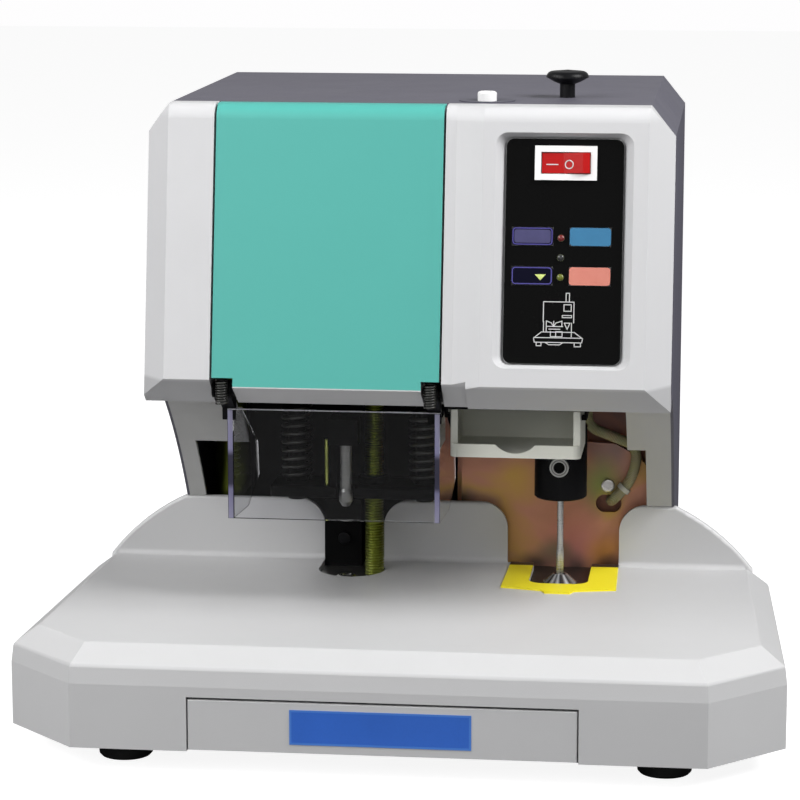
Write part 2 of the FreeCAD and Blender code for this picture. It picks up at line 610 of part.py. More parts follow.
def front_cover():
    """Moulded bezel round the door and the control panel, with the raised panel side."""
    body = new_body("front_cover")
    half, face_edge = d.head_half, d.head_half - d.facet_width
    low, high = d.lip_height - 10, d.head_height + 10
    lean = Vector(0, d.face_slope, 1)
    tall = high - low
    edge, joint, raised = face_y(low), face_y(low, d.cover_depth), face_y(low, -d.pod_rise)
    plan = [(-half, joint), (-face_edge, edge), (d.pod_left - d.pod_ramp, edge), (d.pod_left, raised),
            (face_edge, raised), (half, joint)]
    pad(body, sketch_on(body, "XY", low, [plan]), tall, along=lean)
    # the underside turns back to the lip
    lip, turn = back(d.lip_setback), back(d.lip_setback + d.lip_return)
    underside = [(face_y(d.lip_height + 13, d.cover_depth), d.lip_height + 13),
                 (turn, d.lip_height + 4), (turn, low), (joint, low)]
    pad(body, sketch_on(body, "YZ", -half, [underside]), "2 * head_half")
    slope = (d.face_foot_height - d.lip_height) / (d.face_setback - d.lip_setback)
    far = 40
    for side, until, edge_of_lip in ((-half - 1, d.pod_left - d.pod_ramp / 2, lip),
                                     (d.pod_left - d.pod_ramp / 2, half + 1, lip - d.pod_rise)):
        below = [(edge_of_lip - far, d.lip_height - slope * far), (edge_of_lip, d.lip_height),
                 (turn + 5, d.lip_height), (turn + 5, low - 5), (edge_of_lip - far, low - 5)]
        pocket(body, sketch_on(body, "YZ", side, [below]), until - side)
    above = rectangle(back(40), back(160), d.head_height, high + 5)
    pocket(body, sketch_on(body, "YZ", -half - 1, [above]), "2 * head_half + 2")
    for side in (-1, 1):
        bevel = [(side * (half - d.head_bevel_width), d.head_height),
                 (side * (half + 1), d.head_height - d.head_bevel_drop * (1 + 1 / d.head_bevel_width)),
                 (side * (half + 1), high)]
        pocket(body, sketch_on(body, "XZ", back(40), [bevel]), 120)
    ramp_start = d.pod_left - d.pod_ramp
    stations = [(-half, d.cover_depth), (-face_edge, 0), (ramp_start, 0), (d.pod_left, -d.pod_rise),
                (face_edge, -d.pod_rise), (half, d.cover_depth)]
    for (x0, set0), (x1, set1) in zip(stations, stations[1:]):
        near = sketch_on(body, "YZ", x0, [outside_corner(set0)])
        if set0 == set1:
            pocket(body, near, x1 - x0)
        else:
            loft(body, "SubtractiveLoft", near, sketch_on(body, "YZ", x1, [outside_corner(set1)]))
    # recess for the control panel
    floor_drop = d.recess_depth
    ramp = d.recess_slope
    rim_at = (face_y(panel_low, -d.pod_rise), panel_low)
    span = (panel_high - panel_low) * stretch
    rim = rounded(d.panel_left - ramp, d.panel_right + ramp, -ramp / 2, span + ramp / 2,
                  d.panel_round + ramp / 2)
    floor = rounded(d.panel_left, d.panel_right, 0, span, d.panel_round)
    inward = Vector(0, math.cos(math.radians(tilt)), -math.sin(math.radians(tilt)))
    floor_at = (rim_at[0] + inward.y * floor_drop, rim_at[1] + inward.z * floor_drop)
    loft(body, "SubtractiveLoft", sketch_on(body, "XZ", rim_at, [rim], lean=True),
         sketch_on(body, "XZ", floor_at, [floor], lean=True))
    # hollow back
    inner_low, inner_high = d.face_foot_height + d.cover_inside, d.head_height - d.cover_inside
    wall = d.door_wall
    here = inner_low
    left = rectangle(-face_edge + 1, d.door_left - d.door_gap - wall,
                     face_y(here, wall), face_y(here, d.cover_depth + 1))
    right = rectangle(d.door_right + d.door_gap + wall, face_edge,
                      face_y(here, wall + 1.5), face_y(here, d.cover_depth + 1))
    for hollow in (left, right):
        pocket(body, sketch_on(body, "XY", here, [hollow]), inner_high - inner_low, along=lean)
    # door opening with a web behind it
    gap_left, gap_right = d.door_left - d.door_gap, d.door_right + d.door_gap
    start = low - 5
    opening = rectangle(gap_left, gap_right, face_y(start, -9), face_y(start, d.cover_depth - d.cover_web))
    pocket(body, sketch_on(body, "XY", start, [opening]), tall + 10, along=lean)
    for bottom, top in ((low - 5, d.face_foot_height + 6), (d.head_height - 15, high + 5)):
        through = rectangle(gap_left, gap_right, face_y(bottom, -9), face_y(bottom, d.cover_depth + 15))
        pocket(body, sketch_on(body, "XY", bottom, [through]), top - bottom, along=lean)
    window = rectangle(gap_left + 15, gap_right - 15, d.face_foot_height + 22, d.head_height - 29)
    pocket(body, sketch_on(body, "XZ", face_y(d.face_foot_height) - 2, [window]), 60)
    # the switch goes through the floor of the recess
    switch = panel_rect(d.rocker_x, rocker_height, d.bezel_width - 2 * d.bezel_wall,
                        d.bezel_height - 2 * d.bezel_wall)
    hole = sketch_on(body, "XZ", on_panel(d.recess_depth - 1, panel_low), [switch], lean=True)
    feature(body, "Pocket", hole, 8)
    # bores for the door's pins
    for side in (gap_left - 5.2, gap_right):
        bore = sketch_on(body, "YZ", side, (), [
            (hinge_y, hinge_height, "hinge_radius + hinge_play")])
        pocket(body, bore, 5.2)


# door

def door():
    frame = new_body("door_frame")
    width = "door_right - door_left"
    rear_top = (hinge_y + 2.6, d.head_height - d.door_sheet)
    low = d.door_panel_height
    start = (face_y(low, d.door_sheet * stretch), low)
    bend, middle, end = top_corner(0, d.door_sheet)
    lip = (back(d.lip_setback), d.lip_height)
    heel = (back(d.lip_setback + d.lip_return) - 0.5, d.lip_height)
    profile = [(face_y(low - 0.6), low - 0.6), (face_y(low), low), start, bend, ("arc", middle, end),
               rear_top, (rear_top[0], hinge_height - 3),
               (face_y(hinge_height - 5, d.door_depth), hinge_height - 5),
               (face_y(d.face_foot_height + 3, d.door_depth), d.face_foot_height + 3),
               (heel[0], d.lip_height + 4), heel, lip]
    pad(frame, sketch_on(frame, "YZ", d.door_left, [profile]), width)
    hollow_low, hollow_high = d.face_foot_height + 5, hinge_height - 4
    hollow = [(face_y(hollow_low, d.door_sheet + d.door_wall), hollow_low),
              (face_y(hollow_high, d.door_sheet + d.door_wall), hollow_high),
              (face_y(hollow_high, 20), hollow_high), (face_y(hollow_low, 20), hollow_low)]
    pocket(frame, sketch_on(frame, "YZ", d.door_left + d.door_wall, [hollow]),
           "door_right - door_left - 2 * door_wall")
    notches = [rectangle(d.door_left - 1, d.door_left + d.notch_left_width, d.lip_height - 5, d.notch_top),
               rectangle(d.door_right - d.notch_right_width, d.door_right + 1,
                         d.lip_height - 5, d.notch_top)]
    pocket(frame, sketch_on(frame, "XZ", back(60), notches), 50)
    for side in (d.door_left - 5, d.door_right):
        pin = sketch_on(frame, "YZ", side, (), [
            (hinge_y, hinge_height, "hinge_radius")])
        pad(frame, pin, 5)

    panel = new_body("door_panel")
    outer_bend, outer_middle, outer_end = top_corner(0)
    skin = [(face_y(low), low), outer_bend, ("arc", outer_middle, outer_end),
            (rear_top[0], d.head_height), rear_top, end, ("arc", middle, bend), start]
    pad(panel, sketch_on(panel, "YZ", d.door_left, [skin]), width)
    pocket(panel, sketch_on(panel, "XZ", back(60), notches), 50)


# control panel

def on_panel(depth, height):
    """A point on a plane parallel to the panel, depth behind the raised face, for leaning sketches."""
    inward = Vector(0, math.cos(math.radians(tilt)), -math.sin(math.radians(tilt)))
    return (face_y(height, -d.pod_rise) + inward.y * depth, height + inward.z * depth)


def panel_rect(x, height, width, tall):
    """A rectangle on the leaning plane whose sketch starts at the panel's lower edge."""
    middle = (height - panel_low) * stretch
    return rectangle(x - width / 2, x + width / 2, middle - tall / 2, middle + tall / 2)


keys = {
    "key_punch": (d.key_left, key_upper), "key_press": (d.key_right, key_upper),
    "key_down": (d.key_left, key_lower), "key_reset": (d.key_right, key_lower),
}


def control_panel():
    """Printed film plate in the recess, open for the switch and the keys."""
    body = new_body("control_panel")
    floor = on_panel(d.recess_depth, panel_low)
    face = on_panel(d.recess_depth - d.panel_sheet, panel_low)
    span = (panel_high - panel_low) * stretch
    plate = rounded(d.panel_left + 0.3, d.panel_right - 0.3, 0.3, span - 0.3, d.panel_round)
    outward = Vector(0, -math.cos(math.radians(tilt)), math.sin(math.radians(tilt)))
    sketch = sketch_on(body, "XZ", floor, [plate], lean=True)
    feature(body, "Pad", sketch, "panel_sheet", along=outward)
    cuts = [panel_rect(d.rocker_x, rocker_height, d.bezel_width - 2, d.bezel_height - 2)]
    for x, height in keys.values():
        cuts.append(panel_rect(x, height, d.key_width + 2 * d.key_gap, d.key_tall + 2 * d.key_gap))
    feature(body, "Pocket", sketch_on(body, "XZ", face, cuts, lean=True), "panel_sheet + 1")


def leaning_piece(label, outlines, depth, length, circles=()):
    """A flat piece parallel to the panel that stands out towards the user."""
    body = new_body(label)
    outward = Vector(0, -math.cos(math.radians(tilt)), math.sin(math.radians(tilt)))
    sketch = sketch_on(body, "XZ", on_panel(depth, panel_low), outlines, circles, lean=True)
    feature(body, "Pad", sketch, length, along=outward)
    return body


def keys_and_lamps():
    for label, (x, height) in keys.items():
        middle = (height - panel_low) * stretch
        key = rounded(x - d.key_width / 2, x + d.key_width / 2, middle - d.key_tall / 2,
                      middle + d.key_tall / 2, 1.5)
        leaning_piece(label, [key], d.recess_depth - 0.6, "panel_sheet - 0.6 + key_rise")
    top_lamp = key_upper - 0.8
    lamps = [(d.led_x, (top_lamp - step * d.led_pitch - panel_low) * stretch, "led_radius")
             for step in range(3)]
    leaning_piece("status_lamps", (), d.recess_depth - d.panel_sheet, 0.7, lamps)


def switch_place():
    depth, height = on_panel(d.recess_depth - d.panel_sheet, rocker_height)
    return Placement(Vector(d.rocker_x, depth, height), Rotation(Vector(1, 0, 0), -tilt))


def switch_bezel():
    """White frame on the film, its sleeve behind it, and the bores for the rocker's pins."""
    body = new_body("switch_bezel")
    half, tall = d.bezel_width / 2, d.bezel_height / 2
    wall, step = d.bezel_wall, d.bezel_step
    outer = rectangle(-half, half, -tall, tall)
    inner = rectangle(-half + wall, half - wall, -tall + wall, tall - wall)
    sleeve = rectangle(-half + step, half - step, -tall + step, tall - step)
    pad(body, sketch_on(body, "XZ", -d.bezel_rise, [outer, inner]), "bezel_rise")
    pad(body, sketch_on(body, "XZ", 0, [sleeve, inner]), "panel_sheet")
    bore = sketch_on(body, "XY", -tall + step + 0.5, (), [(0, 0, "rocker_pin + rocker_play")])
    pocket(body, bore, 2 * (tall - step - 0.5))
    body.Placement = switch_place()


def power_rocker():
    """Rocker that leans on its left half; it turns on two pins along the panel's own upright."""
    body = new_body("power_rocker")
    half = d.bezel_width / 2 - d.bezel_wall - 0.4
    tall = d.bezel_height - 2 * d.bezel_wall - 0.8
    # seen along the panel's upright: a shallow vee whose right end stands out
    vee = [(-half, -0.9), (-1.2, -1.0), (half * 0.72, -3.4), (half, -2.6), (half, 0.4),
           (half * 0.55, 1.6), (-half * 0.55, 1.6), (-half, 1.0)]
    pad(body, sketch_on(body, "XY", -tall / 2, [vee]), tall)
    reach = d.bezel_height / 2 - d.bezel_step - 0.7
    pad(body, sketch_on(body, "XY", -reach, (), [(0, 0, "rocker_pin")]), 2 * reach)
    body.Placement = switch_place()


# guard

def guard():
    screen = new_body("guard_screen")
    face = back(d.guard_setback)
    front_plate = rectangle(d.guard_left, d.guard_right, d.guard_bottom, d.guard_top)
    pad(screen, sketch_on(screen, "XZ", face, [front_plate]), "guard_sheet")
    arm_foot = d.guard_top - 6.5
    arm_rear = face + d.guard_sheet + 4.6
    wing = [(face + 1, d.guard_bottom), (back(143), d.guard_bottom - 3.7), (back(179.5), 119),
            (back(175.6), 138.5), (back(122), d.guard_top - 4), (arm_rear, d.guard_top - 0.8),
            (arm_rear, arm_foot), (face + 1, arm_foot)]
    for side in (d.guard_left, d.guard_right - d.guard_sheet):
        pad(screen, sketch_on(screen, "YZ", side, [wing]), "guard_sheet")

    y, z = back(d.pivot_setback), d.pivot_height
    behind = face + d.guard_sheet
    arm_left = d.guard_left - 3.1
    arm_right = d.guard_right + 0.2 - d.arm_width
    walls = {"left": (arm_left, d.door_left - d.door_gap), "right": (arm_right, d.door_right + d.door_gap)}
    for side, (start, wall) in walls.items():
        arm = new_body("guard_arm_" + side)
        barrel = d.arm_barrel
        link = [(behind, d.guard_top - 6), (behind + 3.2, d.guard_top - 6), (behind + 3.2, z - 4),
                (y + barrel * 0.6, z + barrel * 0.8), (y - barrel * 0.6, z - barrel * 0.8),
                (behind, d.guard_top + 0.2)]
        pad(arm, sketch_on(arm, "YZ", start, [link]), "arm_width")
        pad(arm, sketch_on(arm, "YZ", start, (), [(y, z, "arm_barrel")]), "arm_width")
        bore = sketch_on(arm, "YZ", start - 1, (), [(y, z, "pivot_radius + pivot_play")])
        pocket(arm, bore, "arm_width + 2")
        pin = new_body("guard_pivot_" + side)
        inward = 1 if side == "left" else -1
        flange = 1.0
        tip = start + d.arm_width + 1.1 if side == "left" else start - 1.1
        low, high = sorted((wall, tip))
        pad(pin, sketch_on(pin, "YZ", low, (), [(y, z, "pivot_radius")]), high - low)
        flange_at = wall if inward > 0 else wall - flange
        pad(pin, sketch_on(pin, "YZ", flange_at, (), [(y, z, "arm_barrel - 0.8")]), flange)
        cap_at = tip - flange if inward > 0 else tip
        pad(pin, sketch_on(pin, "YZ", cap_at, (), [(y, z, "arm_barrel - 1.4")]), flange)


# rivet press

def press_frame():
    """Steel upright behind the press, the beam that guides its columns and the block by the die."""
    body = new_body("press_frame")
    y = back(d.frame_setback)
    upright = rectangle(d.frame_left, d.frame_right, floor_top, d.head_height - d.frame_drop)
    pad(body, sketch_on(body, "XZ", y, [upright]), "frame_sheet")
    beam = rectangle(d.beam_left, d.beam_right, back(d.beam_setback), y)
    pad(body, sketch_on(body, "XY", d.beam_height, [beam]), "beam_thick")
    deck = d.beam_height + d.beam_thick
    for side in (d.beam_left, d.beam_right - d.frame_sheet):
        rib = [(back(d.rib_setback), deck), (y, deck + d.rib_rise), (y, deck)]
        pad(body, sketch_on(body, "YZ", side, [rib]), "frame_sheet")
    guide_left = d.rivet_x - d.rivet_slot_width / 2 + d.seat_gap
    guide = rectangle(guide_left, guide_left + d.guide_width, back(d.guide_setback), y)
    pad(body, sketch_on(body, "XY", d.anvil_height, [guide]), "guide_height")
    column_y = back(d.column_setback)
    circles = [(d.column_left, column_y, "column_radius + column_play"),
               (d.column_right, column_y, "column_radius + column_play"),
               (d.screw_x, column_y, "screw_radius")]
    pocket(body, sketch_on(body, "XY", d.beam_height - 1, (), circles), "beam_thick + 2")


def press_screw():
    """Fine-threaded column that the press plate climbs."""
    piece = cylinder("press_screw", (d.screw_x, back(d.column_setback), d.anvil_height),
                     "screw_radius", "head_height - screw_drop - anvil_height")
    parts.append(piece)


def press_plate():
    body = new_body("press_plate")
    y, low = back(d.plate_setback), d.plate_height
    plate = rounded(d.plate_left, d.plate_right, y, y + d.plate_depth, 3)
    pad(body, sketch_on(body, "XY", low, [plate]), "plate_thick")
    column_y = back(d.column_setback)
    boss = sketch_on(body, "XY", low + d.plate_thick, (), [
        (d.column_left, column_y, "column_radius + 1.2"), (d.column_right, column_y, "column_radius + 1.2"),
        (d.screw_x, column_y, "screw_radius + 3")])
    pad(body, boss, "boss_rise")
    holes = sketch_on(body, "XY", low - 1, (), [
        (d.column_left, column_y, "column_radius"), (d.column_right, column_y, "column_radius"),
        (d.screw_x, column_y, "screw_radius + column_play")])
    pocket(body, holes, "plate_thick + 2 * boss_rise")
    # slot in the front edge that the die passes
    relief = rectangle(d.rivet_x - 5, d.rivet_x + 5, y - 1, back(d.rivet_setback) + 4.5)
    pocket(body, sketch_on(body, "XY", low - 1, [relief]), "plate_thick + 2")
    for side, x in (("left", d.column_left), ("right", d.column_right)):
        column = cylinder("press_column_" + side, (x, column_y, low), "column_radius",
                          "beam_height + beam_thick + press_down + 20 - plate_height")
        parts.append(column)


def press_springs():
    """Coil springs round the columns, between the plate's bosses and the beam."""
    low, high = d.plate_height + d.plate_thick, d.beam_height
    for side, x in (("left", d.column_left), ("right", d.column_right)):
        wire, radius = d.spring_wire, d.spring_radius - d.spring_wire
        rise = high - low - 2 * wire
        helix = Part.makeHelix(rise / d.spring_turns, rise, radius)
        section = Part.Wire(Part.makeCircle(wire, Vector(radius, 0, 0), Vector(0, 1, 0)))
        coil = Part.Wire(helix).makePipeShell([section], True, True)
        piece = doc.addObject("Part::Feature", "press_spring_" + side)
        piece.Shape = coil
        piece.Label = "press_spring_" + side
        piece.Placement = Placement(Vector(x, back(d.column_setback), low + wire), Rotation())
        parts.append(piece)


def rivet_die():
    """Heater block on its bracket and the hot die under it."""
    x, y = d.rivet_x, back(d.rivet_setback)
    top = d.plate_height + d.plate_thick
    block_low, block_high = d.heater_low, d.heater_high
    heater = new_body("heater_block")
    pad(heater, sketch_on(heater, "XY", block_low, [rectangle(x - 9, x + 7.5, y - 8, y + 5.5)]),
        block_high - block_low)
    pad(heater, sketch_on(heater, "XY", top, [rectangle(x - 9, x - 5, y - 2, y + 13)]),
        block_high - top)
    bore = sketch_on(heater, "XY", block_low - 1, (), [(x, y, "die_radius")])
    pocket(heater, bore, 9)
    body = new_body("rivet_die")
    radius, tip = d.die_radius, d.die_tip
    half = [(0, tip), (radius - 1.2, tip), (radius + 0.5, tip + 2.9), (radius + 0.5, tip + 8.4),
            (radius, tip + 9.9), (radius, block_low + 8), (0, block_low + 8)]
    revolve(body, sketch_on(body, "XZ", 0, [half]))
    body.Placement = Placement(Vector(x, y, 0), Rotation())


# drill

def drill_back_plate():
    """Chromated steel plate behind the bit, with its cut corner and the hole for the wires."""
    body = new_body("drill_back_plate")
    left, right, top = d.backplate_left, d.backplate_right, d.backplate_top
    foot = floor_top
    outline = [(left, foot), (right, foot), (right, top - 13.5), (right - 4, top - 8.5),
               (right - 18, top - 0.8), (86.5, top), (86.5, top + 18), (left, top + 18)]
    y = back(d.backplate_setback)
    pad(body, sketch_on(body, "XZ", y, [outline]), "backplate_sheet")
    wide, tall = d.wire_hole_width / 2, d.wire_hole_tall / 2
    wire_hole = rounded(d.wire_hole_x - wide, d.wire_hole_x + wide, d.wire_hole_height - tall,
                        d.wire_hole_height + tall, 5)
    pocket(body, sketch_on(body, "XZ", y - 1, [wire_hole]), 5)
    spacer = [rectangle(left + 2, left + 10, foot, top + 10), rectangle(right - 9, right - 1, foot, top - 20)]
    pad(body, sketch_on(body, "XZ", y + d.backplate_sheet, spacer),
        "mast_setback - backplate_setback - backplate_sheet")


def drill_mast():
    """Tall plate that carries the guide rods, with its two folded brackets."""
    body = new_body("drill_mast")
    y = back(d.mast_setback)
    plate = rectangle(d.mast_left, d.mast_right, floor_top, mast_top)
    pad(body, sketch_on(body, "XZ", y, [plate]), "mast_sheet")
    rod_y = back(d.rod_setback)
    for low in (d.beam_height + 2, mast_top - d.shelf_thick):
        shelf = rectangle(d.rod_left - 10, d.rod_right + 10, rod_y - 8, y)
        pad(body, sketch_on(body, "XY", low, [shelf]), "shelf_thick")
    rods = [(x, rod_y, "rod_radius") for x in (d.rod_left, d.rod_right)]
    pocket(body, sketch_on(body, "XY", d.beam_height, (), rods), "head_height - mast_drop - beam_height + 4")
    shaft = sketch_on(body, "XZ", y - 1, (), [
        (d.rack_x, pinion_height(), "pinion_radius + 2.5")])
    pocket(body, shaft, "mast_sheet + 2")
    for side, x in (("left", d.rod_left), ("right", d.rod_right)):
        rod = cylinder("guide_rod_" + side, (x, rod_y, d.beam_height + 2), "rod_radius",
                       "head_height - mast_drop - beam_height - 2")
        parts.append(rod)


def pinion_height():
    return d.carriage_height - 20


def carriage():
    """Casting that slides on the rods and holds the quill, the motor, the rack and the lifting rod."""
    body = new_body("drill_carriage")
    low, thick = d.carriage_height, d.carriage_thick
    quill_y, rod_y = back(d.drill_setback), back(d.rod_setback)
    plate = [(d.rod_left - 12, rod_y + 9), (d.rod_left - 12, rod_y - 10),
             (d.drill_x - d.quill_radius - 1, quill_y - 14), (d.knob_x - 9, back(d.knob_setback) - 7),
             (d.knob_x + 9, back(d.knob_setback) - 7), (d.motor_x + d.motor_radius, quill_y - 12),
             (d.motor_x + d.motor_radius, rod_y + 9)]
    pad(body, sketch_on(body, "XY", low, [plate]), "carriage_thick")
    quill = sketch_on(body, "XY", d.beam_height + 4, (), [(d.drill_x, quill_y, "quill_radius")])
    pad(body, quill, low - d.beam_height - 2)
    sleeves = [(x, rod_y, "rod_radius + 4") for x in (d.rod_left, d.rod_right)]
    pad(body, sketch_on(body, "XY", low - 25, (), sleeves), 28)
    bores = [(x, rod_y, "rod_radius + rod_play") for x in (d.rod_left, d.rod_right)]
    bores.append((d.drill_x, quill_y, "spindle_radius + spindle_play"))
    bores.append((d.motor_x, quill_y + 4, "motor_shaft + 0.2"))
    pocket(body, sketch_on(body, "XY", d.beam_height + 3, (), bores),
           "carriage_height + 2 * carriage_thick - beam_height")
    # rack down the left side, teeth towards the pinion
    pitch = 2 * math.pi * d.pinion_radius / d.pinion_teeth
    depth = 2.0
    rack_x = d.rack_x + d.pinion_radius + 0.12
    middle = pinion_height()
    count = int(d.rack_teeth)
    start = middle - 17.5 * pitch
    teeth = [(rack_x + 5.5, start)]
    for step in range(count):
        z = start + step * pitch
        teeth += [(rack_x + depth * 0.6, z + pitch * 0.08), (rack_x - depth * 0.4, z + pitch * 0.32),
                  (rack_x - depth * 0.4, z + pitch * 0.62), (rack_x + depth * 0.6, z + pitch * 0.86)]
    teeth += [(rack_x + 2, start + count * pitch), (rack_x + 2, low + 3), (rack_x + 5.5, low + 3)]
    rack = sketch_on(body, "XZ", rod_y - 4, [teeth])
    pad(body, rack, 8)

    motor = new_body("drill_motor")
    foot, shaft, pulley = low - d.motor_length, d.motor_shaft, d.motor_pulley_radius
    deck = low + thick + 2
    half = [(0, foot), (d.motor_radius, foot), (d.motor_radius, low), (shaft, low), (shaft, deck),
            (pulley, deck), (pulley, deck + d.pulley_tall), (0, deck + d.pulley_tall)]
    revolve(motor, sketch_on(motor, "XZ", 0, [half]))
    motor.Placement = Placement(Vector(d.motor_x, quill_y + 4, 0), Rotation())


def feed_drive():
    """Pinion in mesh with the rack and the gear motor that turns it."""
    body = new_body("feed_pinion")
    teeth, radius = int(d.pinion_teeth), d.pinion_radius
    outline = []
    # a gap faces the rack at rest where the rack has its tooth
    turn = 2 * math.pi / teeth
    for step in range(teeth):
        middle = turn * (step + 0.5)
        for share, reach in ((-0.24, -1.1), (-0.1, 0.9), (0.1, 0.9), (0.24, -1.1)):
            angle = middle + share * turn
            outline.append(((radius + reach) * math.cos(angle), (radius + reach) * math.sin(angle)))
    y = back(d.rod_setback) - 3
    pad(body, sketch_on(body, "XZ", y, [outline]), 6)
    shaft = sketch_on(body, "XZ", y, (), [(0, 0, "feed_shaft")])
    pad(body, shaft, back(d.mast_setback) + d.mast_sheet + 2 - y)
    body.Placement = Placement(Vector(d.rack_x, 0, pinion_height()), Rotation())
    motor = new_body("feed_motor")
    start = back(d.mast_setback) + d.mast_sheet
    pad(motor, sketch_on(motor, "XZ", start, (), [(0, 0, "feed_motor_radius")]), "feed_motor_length")
    pocket(motor, sketch_on(motor, "XZ", start - 1, (), [(0, 0, "feed_shaft + 0.05")]), 8)
    motor.Placement = Placement(Vector(d.rack_x, 0, pinion_height()), Rotation())


def spindle():
    chuck = new_body("drill_chuck")
    low = d.chuck_height
    top = low + d.chuck_tall
    deck = d.carriage_height + d.carriage_thick + 2
    half = [(0, low), (d.chuck_radius - 0.8, low), (d.chuck_radius, low + 0.8),
            (d.chuck_radius, top - 2), (d.chuck_radius - 1.5, top), (d.spindle_radius, top),
            (d.spindle_radius, deck), (d.pulley_radius, deck), (d.pulley_radius, deck + d.pulley_tall),
            (0, deck + d.pulley_tall)]
    revolve(chuck, sketch_on(chuck, "XZ", 0, [half]))
    socket = sketch_on(chuck, "XY", low - 1, (), [(0, 0, "shank_radius")])
    pocket(chuck, socket, 21)
    # tapped boss seat for the clamping screw
    seat = sketch_on(chuck, "XZ", -d.chuck_radius - 1, (), [(0, d.clamp_height, "clamp_radius + 0.2")])
    pocket(chuck, seat, 4)
    chuck.Placement = Placement(Vector(d.drill_x, back(d.drill_setback), 0), Rotation())

    screw = new_body("chuck_screw")
    start = -d.chuck_radius - 1.2
    pad(screw, sketch_on(screw, "XZ", start, (), [(0, d.clamp_height, "clamp_radius")]), 4.2)
    turns = [math.radians(60 * step + 30) for step in range(6)]
    hexagon = [(d.socket_radius * math.cos(turn), d.clamp_height + d.socket_radius * math.sin(turn))
               for turn in turns]
    pocket(screw, sketch_on(screw, "XZ", start - 1, [hexagon]), 3.6)
    screw.Placement = chuck.Placement

    bit = new_body("drill_bit")
    neck, top = d.bit_neck, low + d.shank_reach
    half = [(0.9, d.bit_tip), (d.bit_radius - 0.4, d.bit_tip), (d.bit_radius, d.bit_tip + 1.5),
            (d.bit_radius, neck), (d.shank_radius, neck + 4), (d.shank_radius, top), (0.9, top)]
    revolve(bit, sketch_on(bit, "XZ", 0, [half]))
    bit.Placement = chuck.Placement


def drill_belt():
    """Belt round the two pulleys on top of the carriage."""
    body = new_body("drill_belt")
    quill_y = back(d.drill_setback)
    y, gap = quill_y, 4
    spread = math.dist((d.drill_x, y), (d.motor_x, y + gap))
    heading = math.atan2(gap, d.motor_x - d.drill_x)

    def loop(extra):
        big, small = d.pulley_radius + extra, d.motor_pulley_radius + extra
        lean = math.acos((big - small) / spread)
        far = (d.motor_x, y + gap)

        def at(centre, radius, angle):
            return (centre[0] + radius * math.cos(angle), centre[1] + radius * math.sin(angle))
        near = (d.drill_x, y)
        return [at(near, big, heading + lean), ("arc", at(near, big, heading + math.pi),
                at(near, big, heading - lean)), at(far, small, heading - lean),
                ("arc", at(far, small, heading), at(far, small, heading + lean))]
    low = d.carriage_height + d.carriage_thick + 3
    pad(body, sketch_on(body, "XY", low, [loop(d.belt_thick), loop(0.05)]), "pulley_tall - 2")


def feed_knob():
    """Black mushroom knob on the rod that rises with the carriage."""
    body = new_body("feed_knob")
    top, radius, rod = knob_top, d.knob_radius, d.knob_rod
    low = d.carriage_height + d.carriage_thick
    half = [(0, low), (rod, low), (rod, top - 7.6), (radius * 0.62, top - 6.4), (radius, top - 4),
            ("arc", (radius * 0.93, top - 1.9), (radius * 0.7, top - 0.8)), (0, top)]
    revolve(body, sketch_on(body, "XZ", 0, [half]))
    body.Placement = Placement(Vector(d.knob_x, back(d.knob_setback), 0), Rotation())


# nylon tube feed

def tube_feed():
    inlet = new_body("tube_inlet")
    disc, bush, bore = d.tube_disc, d.tube_bush, d.tube_bore
    top = d.head_height
    half = [(bore, top - 2), (disc - 2.1, top - 2), (disc - 2.1, top), (disc, top), (disc, top + 0.5),
            (bush + 1, top + 0.2), (bush + 1, top + 0.1), (bore, top + 0.1)]
    revolve(inlet, sketch_on(inlet, "XZ", 0, [half]))
    inlet.Placement = Placement(Vector(d.tube_x, back(d.tube_setback), 0), Rotation())
    tube = new_body("tube_bush")
    half = [(bore, top + 0.1), (bush, top + 0.1), (bush, top + 4.2), (bush - 0.8, top + 5), (bore, top + 5)]
    revolve(tube, sketch_on(tube, "XZ", 0, [half]))
    tube.Placement = inlet.Placement
    guide = new_body("tube_guide")
    low = d.lip_height
    half = [(bore, low), (bush + 1.5, low), (bush + 1.5, low + 22), (bush, low + 24), (bush, top - 2),
            (bore, top - 2)]
    revolve(guide, sketch_on(guide, "XZ", 0, [half]))
    guide.Placement = inlet.Placement


def tray_outline(inset):
    return rounded(d.tray_left + inset, d.tray_right - inset, back(d.tray_setback) + inset,
                   back(d.tray_setback + d.tray_depth) - inset, max(0.5, 4 - inset))


